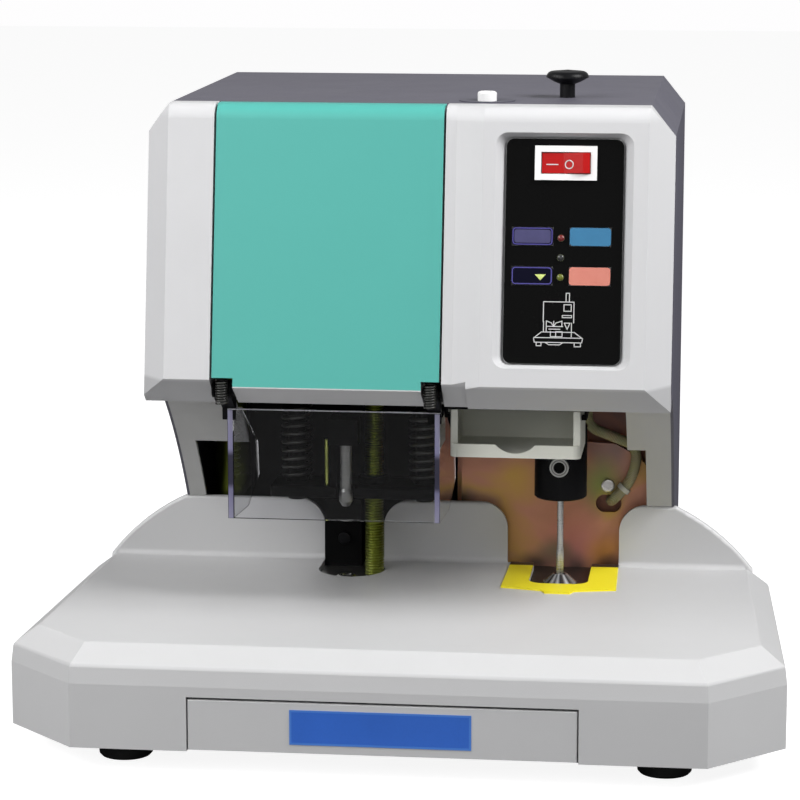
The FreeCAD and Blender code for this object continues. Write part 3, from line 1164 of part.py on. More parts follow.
def tube_tray():
    """Shallow tray under the head for the cut tubes, with a low front that has a thumb notch."""
    body = new_body("tube_tray")
    pad(body, sketch_on(body, "XY", d.tray_bottom, [tray_outline(0)]), "tray_top - tray_bottom")
    rims = [rectangle(d.tray_left - d.tray_rim, d.tray_left + 1, back(d.tray_setback) + 6,
                      back(d.tray_setback + d.tray_depth) - 6),
            rectangle(d.tray_right - 1, d.tray_right + d.tray_rim, back(d.tray_setback) + 6,
                      back(d.tray_setback + d.tray_depth) - 6)]
    pad(body, sketch_on(body, "XY", d.tray_top - 2, rims), 2)
    pocket(body, sketch_on(body, "XY", d.tray_bottom + d.tray_wall, [tray_outline(d.tray_wall)]),
           d.tray_top)
    lip = d.tray_bottom + d.tray_lip
    middle, half = (d.tray_left + d.tray_right) / 2, d.thumb_half
    notch = [(d.tray_left - 3, d.tray_top + 1), (d.tray_left + 0.1, lip), (middle - half, lip),
             ("arc", (middle, lip - d.thumb_deep), (middle + half, lip)), (d.tray_right - 0.1, lip),
             (d.tray_right + 3, d.tray_top + 1)]
    pocket(body, sketch_on(body, "XZ", back(d.tray_setback) - 1, [notch]), d.tray_wall + 1)

    rails = new_body("tray_rails")
    low, top = d.tray_top - 4.3, d.lip_height
    play = d.tray_play
    ends = (back(d.rail_setback), back(d.tray_setback + d.tray_depth))
    left, right = d.tray_left - d.tray_rim - play, d.tray_right + d.tray_rim + play
    hook, wall, under_rim = d.tray_rim, d.rail_wall, d.tray_top - 2 - play
    roof_low = d.tray_top + play
    section = [(left - wall, low), (left + hook, low), (left + hook, under_rim), (left, under_rim),
               (left, roof_low), (right, roof_low), (right, under_rim), (right - hook, under_rim),
               (right - hook, low), (right + wall, low), (right + wall, top), (left - wall, top)]
    pad(rails, sketch_on(rails, "XZ", ends[0], [section]), ends[1] - ends[0])
    hole = sketch_on(rails, "XY", roof_low - 1, (), [(d.tube_x, back(d.tube_setback), "tube_bore")])
    pocket(rails, hole, 12)


def wiring():
    """Bundle of wires from the head down into the hole in the back plate."""
    hole_x, hole_z = d.wire_hole_x + 1.2, d.wire_hole_height + 1.25
    route = [Vector(90, back(214), d.beam_height + 1.5), Vector(88, back(214), 143),
             Vector(103, back(214), 137.5), Vector(117, back(214), 132), Vector(114.5, back(213), 114),
             Vector(hole_x, back(212), hole_z), Vector(hole_x, back(d.mast_setback), hole_z)]
    radius = d.wire_radius
    body = doc.addObject("Part::Feature", "wiring_harness")
    edges = []
    here = route[0]
    for before, corner, after in zip(route, route[1:], route[2:]):
        arm_in, arm_out = before - corner, after - corner
        shorter = min(arm_in.Length, arm_out.Length)
        turn = math.pi - arm_in.getAngle(arm_out)
        reach = 0.45 * shorter
        start = corner + arm_in * (reach / arm_in.Length)
        end = corner + arm_out * (reach / arm_out.Length)
        bend = reach / math.tan(turn / 2)
        toward = (arm_in * (1 / arm_in.Length) + arm_out * (1 / arm_out.Length))
        toward.normalize()
        centre = corner + toward * (bend / math.cos(turn / 2))
        middle = centre - toward * bend
        edges.append(Part.LineSegment(here, start).toShape())
        edges.append(Part.Arc(start, middle, end).toShape())
        here = end
    edges.append(Part.LineSegment(here, route[-1]).toShape())
    path = Part.Wire(edges)
    section = Part.Wire(Part.makeCircle(radius, route[0], route[1] - route[0]))
    body.Shape = path.makePipeShell([section], True, True)
    body.Label = "wiring_harness"
    parts.append(body)


for build in (
        base_cover, base_plate, feet, scrap_drawer, table_insert, drill_bed, bit_ring, anvil,
        throat_skin, head_housing, rear_cover, power_inlet, front_cover, door, control_panel,
        keys_and_lamps, switch_bezel, power_rocker, guard, press_frame, press_screw, press_plate,
        press_springs, rivet_die, drill_back_plate, drill_mast, carriage, feed_drive, spindle,
        drill_belt, feed_knob, tube_feed, tube_tray, wiring):
    build()
doc.recompute()

for thing in doc.Objects:
    if "Invalid" in thing.State or "Error" in thing.State:
        raise RuntimeError(f"{thing.Name} ({thing.Label}) failed: {thing.State}")
for part in parts:
    shape = part.Shape
    if shape.isNull() or not shape.isValid():
        raise RuntimeError(f"{part.Label} has no valid shape")
    shape.exportStep(f"parts/{part.Label}.step")
print(len(parts), "parts")
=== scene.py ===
import bmesh
import bpy
import json
import math
from mathutils import Matrix, Vector


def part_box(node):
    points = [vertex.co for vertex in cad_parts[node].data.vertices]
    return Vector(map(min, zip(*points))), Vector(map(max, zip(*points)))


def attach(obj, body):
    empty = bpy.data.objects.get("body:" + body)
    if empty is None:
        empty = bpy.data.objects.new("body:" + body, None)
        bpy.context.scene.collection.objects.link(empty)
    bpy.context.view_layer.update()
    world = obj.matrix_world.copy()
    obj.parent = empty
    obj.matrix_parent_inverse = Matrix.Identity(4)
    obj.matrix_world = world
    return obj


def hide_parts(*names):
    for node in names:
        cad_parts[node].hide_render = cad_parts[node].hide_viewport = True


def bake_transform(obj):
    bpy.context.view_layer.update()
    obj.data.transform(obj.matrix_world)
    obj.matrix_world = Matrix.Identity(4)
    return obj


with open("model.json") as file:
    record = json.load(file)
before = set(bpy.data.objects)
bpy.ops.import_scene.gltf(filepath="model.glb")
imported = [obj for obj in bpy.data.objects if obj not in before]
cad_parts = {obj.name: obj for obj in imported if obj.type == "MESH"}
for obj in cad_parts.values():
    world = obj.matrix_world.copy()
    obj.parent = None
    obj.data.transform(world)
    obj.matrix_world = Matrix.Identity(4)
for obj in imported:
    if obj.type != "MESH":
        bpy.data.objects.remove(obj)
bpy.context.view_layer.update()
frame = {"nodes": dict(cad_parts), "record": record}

nodeSlots = {part["node"]: part["material_slot"] for part in frame["record"]["subparts"]}
bpy.ops.object.select_all(action="DESELECT")

# places: x, setback from the base's front edge and height, all in millimetres
frontEdge = -160.0


def at(x, setback, z):
    return Vector((x, frontEdge + setback, z)) / 1000


# the head's front leans back; this frame sits on the raised panel side
lean = {"slope": 0.178, "footSetback": 75.0, "footHeight": 190.0, "podRise": 5.0, "recess": 6.0,
        "film": 2.0}
leanAngle = math.atan(lean["slope"])
panelUp = Vector((0, math.sin(leanAngle), math.cos(leanAngle)))
panelOut = Vector((0, -math.cos(leanAngle), math.sin(leanAngle)))


def faceSetback(height):
    return lean["footSetback"] + lean["slope"] * (height - lean["footHeight"])


def panelMatrix(x, height, raised=0.0):
    # local X stays, local Y runs up the panel, local Z stands out of the film
    start = at(x, faceSetback(height) - lean["podRise"], height)
    start -= panelOut * ((lean["recess"] - lean["film"] - raised) / 1000)
    turn = Matrix((Vector((1, 0, 0)), panelUp, panelOut)).transposed().to_4x4()
    return Matrix.Translation(start) @ turn


# node helpers: a socket given as a value is joined, a plain value is typed in
def join(tree, source, target):
    tree.links.new(source, target)


def feed(tree, node, key, value):
    if isinstance(value, bpy.types.NodeSocket):
        join(tree, value, node.inputs[key])
    else:
        node.inputs[key].default_value = value


def addNode(tree, kind, **values):
    node = tree.nodes.new("ShaderNode" + kind)
    for key, value in values.items():
        if key in node.inputs:
            feed(tree, node, key, value)
        else:
            setattr(node, key, value)
    return node


def objectPlace(tree):
    return addNode(tree, "TexCoord").outputs["Object"]


def heightOf(tree, vector):
    return addNode(tree, "SeparateXYZ", Vector=vector).outputs["Z"]


def reckon(tree, operation, *values, kind="Math", **settings):
    node = addNode(tree, kind, operation=operation, **settings)
    for index, value in enumerate(values):
        feed(tree, node, index, value)
    return node.outputs[0]


def lighten(tree, tone, amount):
    return addNode(tree, "VectorMath", operation="SCALE", Vector=tone, Scale=amount).outputs[0]


def distanceTo(tree, vector, point):
    node = addNode(tree, "VectorMath", operation="DISTANCE")
    feed(tree, node, 0, vector)
    feed(tree, node, 1, point)
    return node.outputs["Value"]


def addRange(tree, value, source=(0, 1), target=(0, 1), **settings):
    node = addNode(tree, "MapRange", Value=value, **settings)
    for key, amount in zip(("From Min", "From Max", "To Min", "To Max"), (*source, *target)):
        feed(tree, node, key, amount)
    return node.outputs["Result"]


def addMix(tree, factor, first, second, blend="MIX"):
    # inputs 6 and 7 and output 2 are the ones for colours
    node = addNode(tree, "Mix", data_type="RGBA", blend_type=blend, Factor=factor)
    feed(tree, node, 6, first)
    feed(tree, node, 7, second)
    return node.outputs[2]


def addRamp(tree, value, stops):
    # each stop is a place from 0 to 1 and a tone
    ramp = addNode(tree, "ValToRGB", Fac=value)
    elements = ramp.color_ramp.elements
    for index, (spot, tone) in enumerate(stops):
        stop = elements[index] if index < 2 else elements.new(spot)
        stop.position = spot
        stop.color = (*tone, 1)
    return ramp.outputs["Color"]


# effects that several finishes share
def newGroup(name, inputs, outputs):
    group = bpy.data.node_groups.new(name, "ShaderNodeTree")
    for label, kind, value in inputs:
        socket = group.interface.new_socket(label, in_out="INPUT", socket_type="NodeSocket" + kind)
        socket.default_value = value
    for label, kind in outputs:
        group.interface.new_socket(label, in_out="OUTPUT", socket_type="NodeSocket" + kind)
    return group, group.nodes.new("NodeGroupInput"), group.nodes.new("NodeGroupOutput")


surfaceOutputs = [("Colour", "Color"), ("Roughness", "Float"), ("Height", "Float")]


def makeMouldedGrain():
    group, given, result = newGroup(
        "mouldedGrain", [("Colour", "Color", (0.5, 0.5, 0.5, 1)), ("Mottle", "Float", 0.06),
                         ("Grain Scale", "Float", 2200), ("Smooth", "Float", 0.4)], surfaceOutputs)
    place = objectPlace(group)
    cloud = addNode(group, "TexNoise", Vector=place, Scale=26.0, Detail=4.0, Roughness=0.6)
    grain = addNode(group, "TexNoise", Vector=place, Scale=given.outputs["Grain Scale"], Detail=3.0,
                    Roughness=0.55)
    scuff = addNode(group, "TexNoise", Vector=place, Scale=9.0, Detail=8.0, Roughness=0.72)
    # colour: the base value lifted and lowered by the cloud and a little by the grain
    mixed = reckon(group, "MULTIPLY_ADD", grain.outputs["Fac"], 0.35, cloud.outputs["Fac"])
    shifted = reckon(group, "SUBTRACT", mixed, 0.675)
    amount = reckon(group, "MULTIPLY_ADD", shifted, given.outputs["Mottle"], 1.0)
    feed(group, result, "Colour", lighten(group, given.outputs["Colour"], amount))
    # gloss: handled places are a little smoother
    centred = reckon(group, "SUBTRACT", scuff.outputs["Fac"], 0.5)
    feed(group, result, "Roughness", reckon(group, "MULTIPLY_ADD", centred, 0.28, given.outputs["Smooth"]))
    feed(group, result, "Height", grain.outputs["Fac"])
    return group


def makeMetalStreaks():
    group, given, result = newGroup(
        "metalStreaks", [("Colour", "Color", (0.6, 0.6, 0.6, 1)), ("Stretch", "Vector", (60, 60, 4000)),
                         ("Smooth", "Float", 0.3), ("Contrast", "Float", 0.3)], surfaceOutputs)
    place = objectPlace(group)
    pulled = reckon(group, "MULTIPLY", place, given.outputs["Stretch"], kind="VectorMath")
    streak = addNode(group, "TexNoise", Vector=pulled, Scale=1.0, Detail=5.0, Roughness=0.65)
    stain = addNode(group, "TexNoise", Vector=place, Scale=55.0, Detail=5.0, Roughness=0.6)
    both = reckon(group, "MULTIPLY_ADD", stain.outputs["Fac"], 0.6, streak.outputs["Fac"])
    centred = reckon(group, "SUBTRACT", both, 0.8)
    amount = reckon(group, "MULTIPLY_ADD", centred, given.outputs["Contrast"], 1.0)
    feed(group, result, "Colour", lighten(group, given.outputs["Colour"], amount))
    feed(group, result, "Roughness", reckon(group, "MULTIPLY_ADD", centred, 0.3, given.outputs["Smooth"]))
    feed(group, result, "Height", streak.outputs["Fac"])
    return group


def makeDust():
    # a pale film on surfaces that look up, thicker in patches
    group, given, result = newGroup(
        "settledDust", [("Colour", "Color", (0.5, 0.5, 0.5, 1)), ("Dust", "Color", (0.62, 0.6, 0.56, 1)),
                        ("Amount", "Float", 0.1)], surfaceOutputs[:1])
    upwards = heightOf(group, addNode(group, "NewGeometry").outputs["Normal"])
    patches = addNode(group, "TexNoise", Vector=objectPlace(group), Scale=38.0, Detail=7.0, Roughness=0.7)
    spread = reckon(group, "MULTIPLY", addRange(group, upwards, (0.55, 1)), patches.outputs["Fac"])
    share = reckon(group, "MULTIPLY", spread, given.outputs["Amount"], use_clamp=True)
    feed(group, result, "Colour", addMix(group, share, given.outputs["Colour"], given.outputs["Dust"]))
    return group


mouldedGrain = makeMouldedGrain()
metalStreaks = makeMetalStreaks()
settledDust = makeDust()
print("shared effects ready")


# finishes
def dull(level):
    return {"Specular IOR Level": level}


def newFinish(name, **shader):
    material = bpy.data.materials.new(name)
    material.use_nodes = True
    tree = material.node_tree
    principled = tree.nodes["Principled BSDF"]
    for key, value in shader.items():
        principled.inputs[key].default_value = value
    return material, tree, principled


def addBump(tree, principled, height, distance):
    bump = addNode(tree, "Bump", Strength=1.0, Distance=distance, Height=height)
    feed(tree, principled, "Normal", bump.outputs[0])


def addFineGrain(tree, principled, place, scale, depth=0.00002):
    noise = addNode(tree, "TexNoise", Vector=place, Scale=scale, Detail=3.0)
    addBump(tree, principled, noise.outputs["Fac"], depth)


def useEffect(tree, group, values):
    effect = addNode(tree, "Group", node_tree=group)
    for key, value in values.items():
        feed(tree, effect, key, value)
    return effect.outputs


def mouldedFinish(name, base, mottle=0.05, grain=2200.0, smooth=0.42, depth=0.00004, dust=0.0, below=None,
                  **shader):
    material, tree, principled = newFinish(name, **shader)
    effect = useEffect(tree, mouldedGrain, {"Colour": (*base, 1), "Mottle": mottle, "Grain Scale": grain,
                                            "Smooth": smooth})
    shown = effect["Colour"]
    if dust > 0:
        shown = useEffect(tree, settledDust, {"Amount": dust, "Colour": shown})["Colour"]
    if below:
        shown = shadeBelow(tree, shown, *below)
    feed(tree, principled, "Base Color", shown)
    feed(tree, principled, "Roughness", effect["Roughness"])
    addBump(tree, principled, effect["Height"], depth)
    return material


def shadeBelow(tree, shown, height, share):
    # painted shade: the colour is darkened below the given height, where the mould's underside lies
    step = addRange(tree, heightOf(tree, objectPlace(tree)), (height - 0.0015, height + 0.0005), (share, 1))
    return lighten(tree, shown, step)


def metalFinish(name, base, stretch=(60, 60, 3000), smooth=0.3, contrast=0.3, depth=0.00002, metal=1.0):
    material, tree, principled = newFinish(name, Metallic=metal)
    effect = useEffect(tree, metalStreaks, {"Colour": (*base, 1), "Stretch": stretch, "Smooth": smooth,
                                            "Contrast": contrast})
    feed(tree, principled, "Base Color", effect["Colour"])
    feed(tree, principled, "Roughness", effect["Roughness"])
    addBump(tree, principled, effect["Height"], depth)
    return material


chromateLook = {
    "clouds": [(0.30, (0.32, 0.18, 0.16)), (0.42, (0.54, 0.24, 0.16)), (0.52, (0.64, 0.29, 0.19)),
               (0.62, (0.61, 0.34, 0.11)), (0.74, (0.42, 0.22, 0.21))],
    # each bloom: its x and height, how wide it is, how strong it is and its tone; the near-black ones are
    # painted shade
    "bloomsAndShade": [(48.5, 112, 0.020, 0.8, (0.67, 0.40, 0.072)), (81.6, 76, 0.024, 0.7, (0.67, 0.24, 0.21)),
               (97.5, 70, 0.016, 0.8, (0.80, 0.35, 0.080)), (103, 128, 0.018, 0.8, (0.27, 0.19, 0.19)),
               (95.5, 108, 0.021, 0.85, (0.21, 0.30, 0.056)), (100.8, 99.5, 0.011, 0.8, (0.61, 0.38, 0.048)),
               (70, 69, 0.012, 0.7, (0.16, 0.18, 0.096)), (62, 60, 0.013, 0.9, (0.05, 0.04, 0.03)),
               (82, 59, 0.015, 0.9, (0.05, 0.04, 0.03)), (100, 59, 0.012, 0.8, (0.07, 0.05, 0.03)),
               (20, 96, 0.014, 0.9, (0.05, 0.04, 0.03))],
    "face": 218, "wobble": 0.02, "shift": 10,
}


def chromateFinish():
    # passivated zinc: amber and salmon clouds, with a green bloom round the wire hole; the near-black blooms
    # are painted shade at the foot of the plate and at its left edge
    look = chromateLook
    material, tree, principled = newFinish("yellowChromate", Metallic=0.25)
    place = objectPlace(tree)
    cloud = addNode(tree, "TexNoise", Vector=place, Scale=17.0, Detail=3.0, Roughness=0.5, Distortion=0.6)
    shown = addRamp(tree, cloud.outputs["Fac"], look["clouds"])
    drawn = reckon(tree, "MULTIPLY_ADD", cloud.outputs["Color"], (look["wobble"], 0, look["wobble"]), place,
                   kind="VectorMath")
    for x, height, reach, strength, tone in look["bloomsAndShade"]:
        # the wobble moves every bloom by about the shift, which is added here
        away = distanceTo(tree, drawn, at(x + look["shift"], look["face"], height + look["shift"]))
        fade = addRange(tree, away, (0, reach), (strength, 0), interpolation_type="SMOOTHSTEP")
        shown = addMix(tree, fade, shown, (*tone, 1))
    feed(tree, principled, "Base Color", shown)
    fine = addNode(tree, "TexNoise", Vector=place, Scale=900.0, Detail=4.0)
    feed(tree, principled, "Roughness", addRange(tree, fine.outputs["Fac"], target=(0.36, 0.56)))
    addBump(tree, principled, fine.outputs["Fac"], 0.00002)
    return material


def acrylicFinish():
    # clear sheet with faint smudges
    material, tree, principled = newFinish("clearAcrylic", IOR=1.49, **dull(0.12))
    principled.inputs["Transmission Weight"].default_value = 1.0
    smear = addNode(tree, "TexNoise", Vector=objectPlace(tree), Scale=34.0, Detail=6.0, Roughness=0.7)
    feed(tree, principled, "Roughness", addRange(tree, smear.outputs["Fac"], (0.45, 1), (0, 0.09)))
    # inputs 6, 9 and 10 are the value and the target range for colours
    tint = addNode(tree, "MapRange", data_type="FLOAT_VECTOR")
    for key, value in ((6, smear.outputs["Color"]), (9, (0.95, 0.955, 0.98)), (10, (0.985, 0.988, 1.0))):
        feed(tree, tint, key, value)
    feed(tree, principled, "Base Color", tint.outputs[1])
    return material


def printedFinish(name, base, other, smooth=0.35):
    # screen-printed ink, a little patchy in tone and gloss
    material, tree, principled = newFinish(name)
    blotch = addNode(tree, "TexNoise", Vector=objectPlace(tree), Scale=150.0, Detail=4.0, Roughness=0.6)
    patchy = blotch.outputs["Fac"]
    feed(tree, principled, "Base Color", addMix(tree, patchy, (*base, 1), (*other, 1)))
    feed(tree, principled, "Roughness", addRange(tree, patchy, target=(smooth - 0.08, smooth + 0.1)))
    return material


socketLook = {"x": 0.076, "height": 0.129, "reach": 0.0052,
              "shadeAndHighlightRings": [(0.0, (0.004, 0.004, 0.004)), (0.58, (0.004, 0.004, 0.004)),
                        (0.64, (0.70, 0.70, 0.68)), (0.78, (0.16, 0.16, 0.155)), (0.92, (0.60, 0.60, 0.58))]}


def socketFinish():
    # turned steel ring round the socket of the clamping screw: painted shade darkens the socket, and painted
    # highlight and shade rings lie on the ring
    look = socketLook
    material, tree, principled = newFinish("socketScrew", Metallic=0.8, Roughness=0.3)
    place = objectPlace(tree)
    flat = reckon(tree, "MULTIPLY", place, (1, 0, 1), kind="VectorMath")
    away = distanceTo(tree, flat, (look["x"], 0, look["height"]))
    shown = addRamp(tree, addRange(tree, away, (0, look["reach"])), look["shadeAndHighlightRings"])
    feed(tree, principled, "Base Color", shown)
    addFineGrain(tree, principled, place, 1400.0)
    return material


coneLook = {"axis": (0.076, 0.020, 0),
            "reflectionStreaks": [(0.0, (0.05, 0.05, 0.05)), (0.09, (0.30, 0.29, 0.29)), (0.13, (0.03, 0.03, 0.03)),
                        (0.17, (0.80, 0.80, 0.82)), (0.20, (0.10, 0.10, 0.11)), (0.235, (0.75, 0.76, 0.80)),
                        (0.262, (0.07, 0.07, 0.08)), (0.30, (0.12, 0.10, 0.10)), (0.335, (0.85, 0.85, 0.86)),
                        (0.37, (0.06, 0.05, 0.05)), (0.44, (0.40, 0.38, 0.37)), (0.52, (0.04, 0.04, 0.04)),
                        (0.70, (0.30, 0.29, 0.29)), (0.86, (0.05, 0.05, 0.05))]}


def coneFinish():
    # polished cone round the bit: painted reflection streaks, bright and dark, run from its rim to its mouth
    material, tree, principled = newFinish("polishedCone", Metallic=0.55, Roughness=0.22)
    place = objectPlace(tree)
    centred = reckon(tree, "SUBTRACT", place, coneLook["axis"], kind="VectorMath")
    turn = addNode(tree, "TexGradient", gradient_type="RADIAL", Vector=centred)
    feed(tree, principled, "Base Color", addRamp(tree, turn.outputs["Fac"], coneLook["reflectionStreaks"]))
    addFineGrain(tree, principled, place, 1400.0)
    return material


def sleeveFinish():
    # woven glass sleeve over the wires
    material, tree, principled = newFinish("wireSleeve", Roughness=0.75)
    place = objectPlace(tree)
    weave = addNode(tree, "TexChecker", Vector=place, Scale=1700.0, Color1=(0.44, 0.40, 0.20, 1),
                    Color2=(0.58, 0.54, 0.34, 1))
    tone = addNode(tree, "TexNoise", Vector=place, Scale=120.0, Detail=5.0)
    feed(tree, principled, "Base Color",
         addMix(tree, 0.35, weave.outputs["Color"], tone.outputs["Color"], blend="MULTIPLY"))
    addBump(tree, principled, weave.outputs["Fac"], 0.0002)
    return material


sawnLook = {"low": 0.1125, "high": 0.1710,
            "tones": [(0.0, (0.26, 0.25, 0.36)), (0.27, (0.17, 0.16, 0.27)), (0.32, (0.035, 0.033, 0.06)),
                      (0.58, (0.03, 0.028, 0.05)), (0.64, (0.22, 0.21, 0.35)), (1.0, (0.27, 0.26, 0.38))]}


def sawnEdgeFinish():
    # the polished end of the side sheet: lavender, with a painted dark band that stands for the black press
    # seen through it
    material, tree, principled = newFinish("sawnEdge", Roughness=0.3)
    place = objectPlace(tree)
    height = addRange(tree, heightOf(tree, place), (sawnLook["low"], sawnLook["high"]))
    feed(tree, principled, "Base Color", addRamp(tree, height, sawnLook["tones"]))
    addFineGrain(tree, principled, place, 1300.0, 0.00003)
    return material


finishes = {
    "grey_moulding": mouldedFinish("greyMoulding", (0.55, 0.55, 0.555), mottle=0.05, smooth=0.42, dust=0.05),
    "grey_paint": mouldedFinish("greyPaint", (0.092, 0.089, 0.117), mottle=0.16, grain=1500.0,
                                smooth=0.5, depth=0.00012, dust=0.05),
    "teal_moulding": mouldedFinish("tealMoulding", (0.078, 0.41, 0.36), mottle=0.03, smooth=0.5),
    "yellow_sheet": mouldedFinish("yellowSheet", (0.93, 0.80, 0.012), mottle=0.10, grain=900.0,
                                  smooth=0.45, depth=0.00002, dust=0.03),
    "clear_acrylic": acrylicFinish(),
    "black_plastic": mouldedFinish("blackPlastic", (0.005, 0.005, 0.006), mottle=0.3, smooth=0.36,
                                   **dull(0.15)),
    "white_plastic": mouldedFinish("whitePlastic", (0.86, 0.865, 0.77), mottle=0.05, smooth=0.42, dust=0.06),
    "panel_film": mouldedFinish("panelFilm", (0.003, 0.003, 0.003), mottle=0.4, grain=1400.0,
                                smooth=0.26, depth=0.00001, **dull(0.04)),
    "switch_red": mouldedFinish("switchRed", (0.46, 0.010, 0.010), mottle=0.12, grain=600.0,
                                smooth=0.34, depth=0.00001, **dull(0.15)),
    "key_dark": mouldedFinish("keyDark", (0.004, 0.004, 0.014), mottle=0.4, grain=1400.0, smooth=0.26,
                              depth=0.00001, **dull(0.04)),
    "key_blue": printedFinish("keyBlue", (0.022, 0.15, 0.30), (0.035, 0.20, 0.38)),
    "key_salmon": printedFinish("keySalmon", (0.60, 0.18, 0.13), (0.70, 0.26, 0.20)),
    "lamp_lens": mouldedFinish("lampLens", (0.10, 0.11, 0.05), mottle=0.3, grain=500.0, smooth=0.2,
                               depth=0.00001),
    "bright_steel": metalFinish("brightSteel", (0.50, 0.50, 0.49), smooth=0.30, contrast=0.35),
    "chromate_steel": chromateFinish(),
    "dark_steel": mouldedFinish("darkSteel", (0.006, 0.006, 0.007), mottle=0.3, grain=1800.0,
                                smooth=0.40, **dull(0.08)),
    "chrome": metalFinish("chromePlate", (0.80, 0.79, 0.78), smooth=0.16, contrast=0.5, metal=0.45),
    "rubber": mouldedFinish("rubberFoot", (0.008, 0.008, 0.008), mottle=0.4, grain=1100.0,
                            smooth=0.62, depth=0.0001, dust=0.04),
    "black_paint": mouldedFinish("blackPaint", (0.003, 0.003, 0.0032), mottle=0.3, grain=1500.0,
                                 smooth=0.42, **dull(0.05)),
    "cast_aluminium": metalFinish("castAluminium", (0.36, 0.36, 0.37), stretch=(700, 700, 700),
                                  smooth=0.5, contrast=0.4, depth=0.0002),
    "wire_sleeve": sleeveFinish(),
}
for node, cadObject in frame["nodes"].items():
    cadObject.data.materials.clear()
    cadObject.data.materials.append(finishes[nodeSlots[node]])

extra = {
    "white ink": mouldedFinish("whiteInk", (0.66, 0.66, 0.66), mottle=0.25, grain=1500.0, smooth=0.5,
                               depth=0.00001),
    "violet ink": printedFinish("violetInk", (0.045, 0.035, 0.22), (0.08, 0.07, 0.34)),
    "violet key": printedFinish("violetKey", (0.03, 0.028, 0.10), (0.07, 0.065, 0.18)),
    "lime ink": printedFinish("limeInk", (0.62, 0.74, 0.18), (0.72, 0.82, 0.30)),
    "label blue": mouldedFinish("labelBlue", (0.028, 0.13, 0.56), mottle=0.25, grain=700.0, smooth=0.4,
                                depth=0.00001),
    "label edge": mouldedFinish("labelEdge", (0.06, 0.20, 0.62), mottle=0.2, grain=700.0, smooth=0.4,
                                depth=0.00001),
    "sawn edge": sawnEdgeFinish(),
    "rim highlight": mouldedFinish("rimHighlight", (0.80, 0.80, 0.86), mottle=0.2, grain=800.0, smooth=0.3),
    "disc paint": mouldedFinish("discPaint", (0.075, 0.073, 0.098), mottle=0.12, grain=1500.0,
                                smooth=0.45, dust=0.03),
    "olive zinc": metalFinish("oliveZinc", (0.33, 0.36, 0.10), stretch=(90, 90, 2000), smooth=0.32,
                              contrast=0.5),
    "dark olive": metalFinish("darkOlive", (0.10, 0.12, 0.02), stretch=(60, 60, 60), smooth=0.34,
                              contrast=0.4),
    "spring steel": metalFinish("springSteel", (0.08, 0.08, 0.076), smooth=0.45, contrast=0.5),
    "lamp red": mouldedFinish("lampRed", (0.16, 0.02, 0.02), mottle=0.3, smooth=0.15, depth=0.00001),
    "lamp olive": mouldedFinish("lampOlive", (0.13, 0.15, 0.02), mottle=0.3, smooth=0.15, depth=0.00001),
    "lamp clear": mouldedFinish("lampClear", (0.03, 0.032, 0.034), mottle=0.3, smooth=0.15, depth=0.00001),
    "tie nylon": mouldedFinish("tieNylon", (0.62, 0.62, 0.56), mottle=0.1, smooth=0.4),
    # front cover: the grey moulding made lighter as painted light, and darkened on its underside as painted
    # shade
    "cover lit moulding": mouldedFinish("coverLitMoulding", (0.61, 0.61, 0.62), mottle=0.05, smooth=0.42,
                                    dust=0.04, below=(0.1895, 0.72)),
    # throat skin: the grey moulding made darker as painted shade under the head
    "throat shaded moulding": mouldedFinish("throatShadedMoulding", (0.45, 0.45, 0.44), mottle=0.05, smooth=0.46,
                                     dust=0.04),
    "socket screw": socketFinish(),
    "polished cone": coneFinish(),
    "bed steel": metalFinish("bedSteel", (0.045, 0.036, 0.032), smooth=0.4, contrast=0.5, metal=0.6),
    "die steel": metalFinish("dieSteel", (0.26, 0.26, 0.25), smooth=0.4, contrast=0.4, metal=0.7),
    "snow plastic": mouldedFinish("snowPlastic", (0.92, 0.92, 0.91), mottle=0.03, smooth=0.35),
}
# single pieces whose tone differs from the rest of their slot; the front cover's lighter moulding is painted
# light with painted shade on its underside, and the throat skin's darker moulding is painted shade
shadeOf = {"front_cover": "cover lit moulding", "throat_skin": "throat shaded moulding", "switch_bezel": "snow plastic",
           "tube_bush": "snow plastic", "chuck_screw": "socket screw", "bit_ring": "polished cone",
           "drill_bed": "bed steel", "rivet_die": "die steel", "tube_inlet": "disc paint"}
for node, name in shadeOf.items():
    frame["nodes"][node].data.materials[0] = extra[name]
print("finishes assigned to", len(frame["nodes"]), "nodes")


# modelling helpers
def onlySelect(piece):
    bpy.ops.object.select_all(action="DESELECT")
    piece.select_set(True)
    bpy.context.view_layer.objects.active = piece


def pickInEdit(piece, kind, wanted):
    # leaves edit mode on, with the wanted faces, edges or points selected
    onlySelect(piece)
    bpy.ops.object.mode_set(mode="EDIT")
    bpy.ops.mesh.select_mode(type=kind)
    bpy.ops.mesh.select_all(action="DESELECT")
    mesh = bmesh.from_edit_mesh(piece.data)
    items = {"FACE": mesh.faces, "EDGE": mesh.edges, "VERT": mesh.verts}[kind]
    for item in items:
        if wanted(item):
            item.select_set(True)
    mesh.select_flush_mode()
    bmesh.update_edit_mesh(piece.data)


def leaveEdit():
    bpy.ops.object.mode_set(mode="OBJECT")


def closeEnds(piece):
    # fills the open ends and turns all faces outwards
    pickInEdit(piece, "EDGE", lambda edge: edge.is_boundary)
    bpy.ops.mesh.edge_face_add()
    bpy.ops.mesh.select_all(action="SELECT")
    bpy.ops.mesh.normals_make_consistent(inside=False)
    leaveEdit()


def applyPlace(piece):
    onlySelect(piece)
    bpy.ops.object.transform_apply(location=True, rotation=True, scale=True)


def useModifier(piece, kind, **values):
    onlySelect(piece)
    modifier = piece.modifiers.new(kind, kind)
    for key, value in values.items():
        setattr(modifier, key, value)
    bpy.ops.object.modifier_apply(modifier=modifier.name)


def softenEdges(piece, width, leastTurn=30):
    # bevels the edges whose faces turn by more than this angle
    useModifier(piece, "BEVEL", width=width, segments=2, limit_method="ANGLE",
                angle_limit=math.radians(leastTurn))


